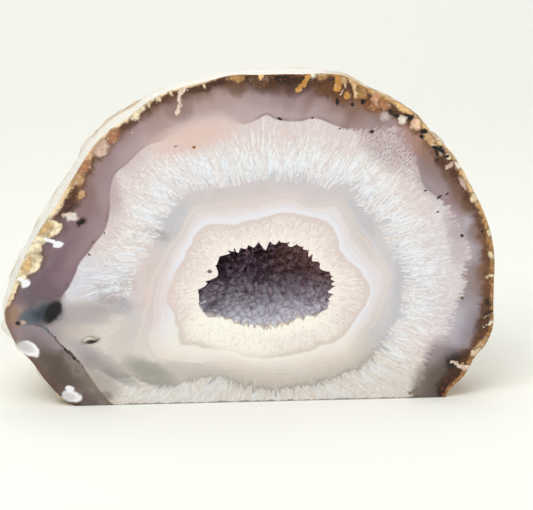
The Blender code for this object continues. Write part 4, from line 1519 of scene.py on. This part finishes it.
def crystal_material():
    """Violet crystal, pale lilac low in the hollow and dark violet above, the pale and dark being
    painted light and shade for light falling in from above, with near black at the upper left as
    painted shade. It has pink curling streaks painted as highlights, pale rims and circles painted
    as highlights on the lower crystals, dark joints between the upper ones painted as shade, and
    pale crystal ends at the lower lip painted as lit from above."""
    material, w, shader = new_material("smoky_amethyst")
    position = w.group(face_position)["Position"]
    tip, tone = w.attribute("tip"), w.attribute("tone")
    x, depth, z = w.split(position)
    clouds = w.noise(position, 0.25, 2)
    grain = w.noise(position, 0.9, 3, 0.6)
    highlight_curls = w.math("ABSOLUTE", w.minus(w.noise(position, 0.65, 1), 0.5))
    highlight_rings = w.cells(position, 0.3)
    # Height for the row of paints, with clouds, each crystal's tone and grain: painted light low
    # in the hollow and painted shade high up
    height = w.plus(z, w.times(w.minus(clouds, 0.5), 10.0), w.times(w.minus(tone, 0.5), 9.0),
                    w.times(w.minus(grain, 0.5), -12.0))
    # Near black at the top and along the left side, painted shade under the lip
    black = w.times(w.rise(w.plus(x, w.times(clouds, 8.0)), 5.0, -4.0), w.rise(z, 22, 28))
    black = w.either(black, w.times(w.rise(x, -8.5, -12.5), w.rise(z, 19, 23)))
    lit = w.minus(1.0, black)
    to_right = w.plus(x, w.times(clouds, 6.0))
    # Painted light and shade by height, then the painted near black
    colour = w.paints(height, CRYSTAL_SHADE_BY_HEIGHT, 17, 35, smooth=True)
    colour = w.tint(colour, "crystal shade black", black, 0.9)
    w.feed(shader.inputs["Base Color"], w.layers(colour, (
        (to_right, 6, 15, "crystal brown", w.rise(z, 21, 30), 0.7),
        # Pink curling streaks, painted highlights
        (highlight_curls, 0.07, 0.0, "crystal pink highlight", w.rise(z, 18.5, 22.5), lit, 0.75),
        (tone, 0.72, 0.98, "crystal rose", lit, 0.3),
        # Pale rims of the lower crystals and pale rings on them, painted highlights
        (z, 28, 19, "crystal rim highlight", w.between(tip, 0.2, 0.4, 0.45, 0.6), 0.6),
        (z, 28, 21, "crystal ring highlight", w.between(highlight_rings, 0.28, 0.38, 0.42, 0.50), 0.75),
        # Dark joints between the upper crystals, painted shade in the crevices
        (z, 18, 30, "crystal joint shade", w.rise(tip, 0.3, 0.0), 0.5),
        # Pale crystal ends at the lower lip: pale druse crystal, painted as lit from above
        (depth, 3.6, 1.8, "tooth", w.rise(z, 22, 19)),
    )))
    shader.inputs["Roughness"].default_value = 0.25
    shader.inputs["IOR"].default_value = 1.54
    shader.inputs["Specular IOR Level"].default_value = 0.3
    shader.inputs["Specular Tint"].default_value = shade("crystal glint")
    shader.inputs["Transmission Weight"].default_value = 0.1
    return material


class StoneSettings(bpy.types.PropertyGroup):
    """Finish of the banded stone."""

    polish: bpy.props.FloatProperty(
        name="Polish", description="Roughness of the polished face",
        default=0.16, min=0, max=1,
    )
    rind_relief: bpy.props.FloatProperty(
        name="Rind relief", description="Height of the fine pits and grains on the rind",
        default=0.5 * MM, min=0, unit="LENGTH",
    )


class CrustSettings(bpy.types.PropertyGroup):
    """Sizes of the crystals in the hollow."""

    crystal_height: bpy.props.FloatProperty(
        name="Crystal height", description="Mean height of the crystals",
        default=1.1 * MM, min=0, unit="LENGTH",
    )
    jitter: bpy.props.FloatProperty(
        name="Unevenness", description="How far the crystals stray from an even layout",
        default=0.024, min=0, max=0.05,
    )


class StageSettings(bpy.types.PropertyGroup):
    """Floor, light and camera."""

    floor_colour: bpy.props.FloatVectorProperty(
        name="Floor colour", description="Colour of the floor and backdrop",
        subtype="COLOR", size=4, default=shade("floor"), min=0, max=1,
    )
    azimuth: bpy.props.FloatProperty(
        name="Azimuth", description="Camera's turn to the right of the face",
        default=math.radians(-5), subtype="ANGLE",
    )
    elevation: bpy.props.FloatProperty(
        name="Elevation", description="Camera's angle over the floor",
        default=math.radians(12), subtype="ANGLE",
    )
    distance: bpy.props.FloatProperty(
        name="Distance", description="Camera to the middle of the face",
        default=0.5, min=0.1, unit="LENGTH",
    )


class GEODE_OT_stone(bpy.types.Operator):
    """Makes the stone: rind, polished banded face, sawn base and the wall of the hollow"""

    bl_idname = "geode.stone"
    bl_label = "Stone"

    def execute(self, context):
        settings = context.scene.geode_stone
        stone = sphere_through("agate", stone_rings())
        face_outwards()
        self.roughen_rind(stone, settings.rind_relief)
        cut_plane((0, 0, -1), fill=True)
        places = corner_places(stone)
        write_value(stone, "band", band_of(places))
        write_value(stone, "rim", -FACE.outside(places) / MM)
        move_to_frame(stone)
        for material in (rind_material(), agate_material(settings.polish), base_material()):
            stone.data.materials.append(material)
        for side in stone.data.polygons:
            if abs(side.center.y - FACE_Y) < FLAT:
                side.material_index = 1
            elif abs(side.center.z) < FLAT:
                side.material_index = 2
        bpy.ops.object.shade_smooth_by_angle(angle=SMOOTH_ANGLE)
        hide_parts("agate_stone")
        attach(stone, "root")
        return {"FINISHED"}

    def roughen_rind(self, stone, relief):
        """Pits and grains on the rind, with the face and the hollow left as they are."""
        rind = stone.vertex_groups.new(name="rind")
        for index, (x, y, z) in enumerate(corner_places(stone)):
            from_hollow = math.hypot(x - MOUTH.centre[0], z - MOUTH.centre[2])
            in_hollow = from_hollow < CLEAR_RADIUS and y < CLEAR_DEPTH
            if y > 0 and not in_hollow:
                rind.add([index], float(smooth_step(y / RIND_START)), "REPLACE")
        for name, kind, size, share in RIND_TEXTURES:
            texture = bpy.data.textures.new(name, kind)
            texture.noise_scale = size
            modifier = stone.modifiers.new(name, "DISPLACE")
            modifier.texture = texture
            modifier.vertex_group = rind.name
            modifier.strength = relief * share
            modifier.mid_level = 0.5
        apply_modifiers(stone)


def corners_to_faces():
    """Geometry node group that turns each corner of a mesh into a face."""
    tree = bpy.data.node_groups.new("corners_to_faces", "GeometryNodeTree")
    tree.interface.new_socket(name="Geometry", in_out="INPUT", socket_type="NodeSocketGeometry")
    tree.interface.new_socket(name="Geometry", in_out="OUTPUT", socket_type="NodeSocketGeometry")
    start = tree.nodes.new("NodeGroupInput")
    dual = tree.nodes.new("GeometryNodeDualMesh")
    end = tree.nodes.new("NodeGroupOutput")
    tree.links.new(start.outputs[0], dual.inputs[0])
    tree.links.new(dual.outputs[0], end.inputs[0])
    return tree


class GEODE_OT_crust(bpy.types.Operator):
    """Makes the crust of crystals that lines the hollow, sawn flat with the face"""

    bl_idname = "geode.crust"
    bl_label = "Crystal crust"

    def execute(self, context):
        settings = context.scene.geode_crust
        deselect_all()
        bpy.ops.mesh.primitive_ico_sphere_add(subdivisions=CRYSTAL_SUBDIVISIONS, radius=1)
        crust = name_piece("amethyst")
        edit_all()
        bpy.ops.transform.vertex_random(offset=settings.jitter, seed=LAYOUT_SEED)
        end_edit()
        crust.modifiers.new("Thinning", "DECIMATE").ratio = CRYSTAL_SHARE
        crust.modifiers.new("Crystal cells", "NODES").node_group = corners_to_faces()
        apply_modifiers(crust)
        place_corners(crust, hollow_points(corner_places(crust), 0))
        self.raise_points(crust, settings.crystal_height)
        cut_plane((0, -1, 0), fill=False)
        self.close_behind(crust)
        face_outwards()
        places = corner_places(crust)
        write_value(crust, "band", band_of(places))
        write_value(crust, "rim", np.full(len(places), FAR_FROM_RIM_MM))
        move_to_frame(crust)
        crust.data.materials.append(crystal_material())
        crust.data.materials.append(bpy.data.materials["polished_agate"])
        for side in crust.data.polygons:
            flat = abs(side.center.y - FACE_Y) < FLAT
            side.use_smooth = not flat
            side.material_index = int(flat)
        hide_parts("amethyst_crust")
        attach(crust, "root")
        return {"FINISHED"}

    def raise_points(self, crust, height):
        """Turns each cell of the wall into a crystal: short steep sides and a pointed end
        that leans a little."""
        roots = len(crust.data.vertices)
        edit_all()
        bpy.ops.mesh.normals_make_consistent(inside=True)
        bpy.ops.mesh.inset(
            thickness=CRYSTAL_INSET, depth=SHOULDER_SHARE * height, use_individual=True
        )
        end_edit()
        shoulders = len(crust.data.vertices)
        bpy.ops.object.mode_set(mode="EDIT")
        bpy.ops.mesh.poke(offset=0)
        end_edit()
        places = corner_places(crust)
        dice = np.random.default_rng(TIP_SEED)
        tips = places[shoulders:]
        tips += unit(HOLLOW_MIDDLE - tips) * dice.uniform(*TIP_SHARES, (len(tips), 1)) * height
        tips += dice.uniform(-1, 1, tips.shape) * TIP_LEAN
        place_corners(crust, places)
        rise = np.zeros(len(places))
        rise[roots:shoulders] = SHOULDER_TIP
        rise[shoulders:] = 1
        write_value(crust, "tip", rise)
        write_value(crust, "tone", dice.uniform(0, 1, len(places)))

    def close_behind(self, crust):
        """Closes the crust behind the crystals, with a flat lip in the face's plane."""
        toothed = len(crust.data.vertices)
        bpy.ops.object.mode_set(mode="EDIT")
        bpy.ops.mesh.select_mode(type="EDGE")
        bpy.ops.mesh.primitive_circle_add(vertices=LONGITUDES, radius=MM)
        self.set_last_ring(crust, hollow_ring(CRUST_THICKNESS, 0, even_turns()), toothed)
        bpy.ops.mesh.select_all(action="DESELECT")
        bpy.ops.mesh.select_non_manifold()
        bpy.ops.mesh.fill(use_beauty=True)
        bpy.ops.mesh.select_all(action="DESELECT")
        bpy.ops.mesh.select_non_manifold()
        for step in range(1, SHELL_RINGS + 1):
            bpy.ops.mesh.extrude_region_move()
            end_edit()
            arms = corner_places(crust)[-LONGITUDES:] - MOUTH.centre
            turns = np.arctan2(arms[:, 2], arms[:, 0])
            ring = hollow_ring(CRUST_THICKNESS, step / SHELL_RINGS, turns)
            self.set_last_ring(crust, ring, len(crust.data.vertices) - LONGITUDES)
        bpy.ops.mesh.remove_doubles(threshold=FLAT)
        end_edit()

    def set_last_ring(self, crust, ring, start):
        """Moves the corners from start on to these places, and goes on in edit mode."""
        end_edit()
        places = corner_places(crust)
        places[start:] = ring
        place_corners(crust, places)
        bpy.ops.object.mode_set(mode="EDIT")


class GEODE_OT_stage(bpy.types.Operator):
    """Makes the floor with its backdrop, the soft lights and the camera"""

    bl_idname = "geode.stage"
    bl_label = "Stage"

    def execute(self, context):
        settings = context.scene.geode_stage
        self.make_floor(settings.floor_colour)
        self.make_lights(context.scene)
        self.make_camera(context.scene, settings)
        return {"FINISHED"}

    def make_floor(self, colour):
        deselect_all()
        bpy.ops.mesh.primitive_plane_add(size=FLOOR_SIZE, location=FLOOR_MIDDLE)
        floor = name_piece("floor")
        bpy.ops.transform.resize(value=(FLOOR_WIDENING, 1, 1))
        bpy.ops.object.transform_apply(location=True, scale=True)
        bpy.ops.object.mode_set(mode="EDIT")
        bpy.ops.mesh.select_mode(type="EDGE")
        bpy.ops.mesh.select_all(action="DESELECT")
        end_edit()
        corners = floor.data.vertices
        for edge in floor.data.edges:
            edge.select = all(corners[i].co.y > 0 for i in edge.vertices)
        bpy.ops.object.mode_set(mode="EDIT")
        bpy.ops.mesh.extrude_region_move(
            TRANSFORM_OT_translate={"value": (0, 0, BACKDROP_HEIGHT)}
        )
        end_edit()
        for edge in floor.data.edges:
            edge.select = all(
                corners[i].co.y > 0 and corners[i].co.z < FLAT for i in edge.vertices)
        bpy.ops.object.mode_set(mode="EDIT")
        bpy.ops.mesh.bevel(offset=BACKDROP_BEND, segments=BEND_STEPS)
        end_edit()
        bpy.ops.object.shade_smooth()
        floor.data.materials.append(plain_material("pale_floor", colour, 0.9))

    def make_lights(self, scene):
        for name, place, aim, size, power in LIGHTS:
            bpy.ops.object.light_add(type="AREA", location=place)
            light = bpy.context.object
            light.name = name
            light.data.size = size
            light.data.energy = power
            ray = Vector(aim) - Vector(place)
            light.rotation_euler = ray.to_track_quat("-Z", "Y").to_euler()
        world = bpy.data.worlds.new("soft_room")
        world.use_nodes = True
        background = world.node_tree.nodes["Background"]
        background.inputs["Color"].default_value = ROOM_COLOUR
        background.inputs["Strength"].default_value = ROOM_LIGHT
        scene.world = world
        scene.view_settings.view_transform = "Standard"

    def make_camera(self, scene, settings):
        away = Vector((
            math.sin(settings.azimuth) * math.cos(settings.elevation),
            -math.cos(settings.azimuth) * math.cos(settings.elevation),
            math.sin(settings.elevation),
        ))
        bpy.ops.object.camera_add(location=CAMERA_TARGET + away * settings.distance)
        camera = bpy.context.object
        camera.name = "camera"
        camera.rotation_euler = (-away).to_track_quat("-Z", "Y").to_euler()
        camera.data.lens = LENS_MM
        scene.camera = camera


class GEODE_PT_panel(bpy.types.Panel):
    """Lists the geode's pieces and their settings"""

    bl_label = "Geode"
    bl_idname = "GEODE_PT_panel"
    bl_space_type = "VIEW_3D"
    bl_region_type = "UI"
    bl_category = "Geode"

    def draw(self, context):
        for operator, settings in OPERATORS:
            box = self.layout.box()
            box.operator(operator.bl_idname)
            values = getattr(context.scene, settings)
            for name in values.bl_rna.properties.keys():
                if name not in ("rna_type", "name"):
                    box.prop(values, name)


SETTINGS = {
    "geode_stone": StoneSettings,
    "geode_crust": CrustSettings,
    "geode_stage": StageSettings,
}
OPERATORS = (
    (GEODE_OT_stone, "geode_stone"),
    (GEODE_OT_crust, "geode_crust"),
    (GEODE_OT_stage, "geode_stage"),
)
CLASSES = (*SETTINGS.values(), *(operator for operator, _ in OPERATORS), GEODE_PT_panel)


def register():
    for listed in CLASSES:
        bpy.utils.register_class(listed)
    for name, group in SETTINGS.items():
        setattr(bpy.types.Scene, name, bpy.props.PointerProperty(type=group))


def unregister():
    for name in SETTINGS:
        delattr(bpy.types.Scene, name)
    for listed in reversed(CLASSES):
        bpy.utils.unregister_class(listed)


def main():
    register()
    bpy.ops.geode.stone()
    bpy.ops.geode.crust()
    bpy.ops.geode.stage()


if __name__ == "__main__":
    main()
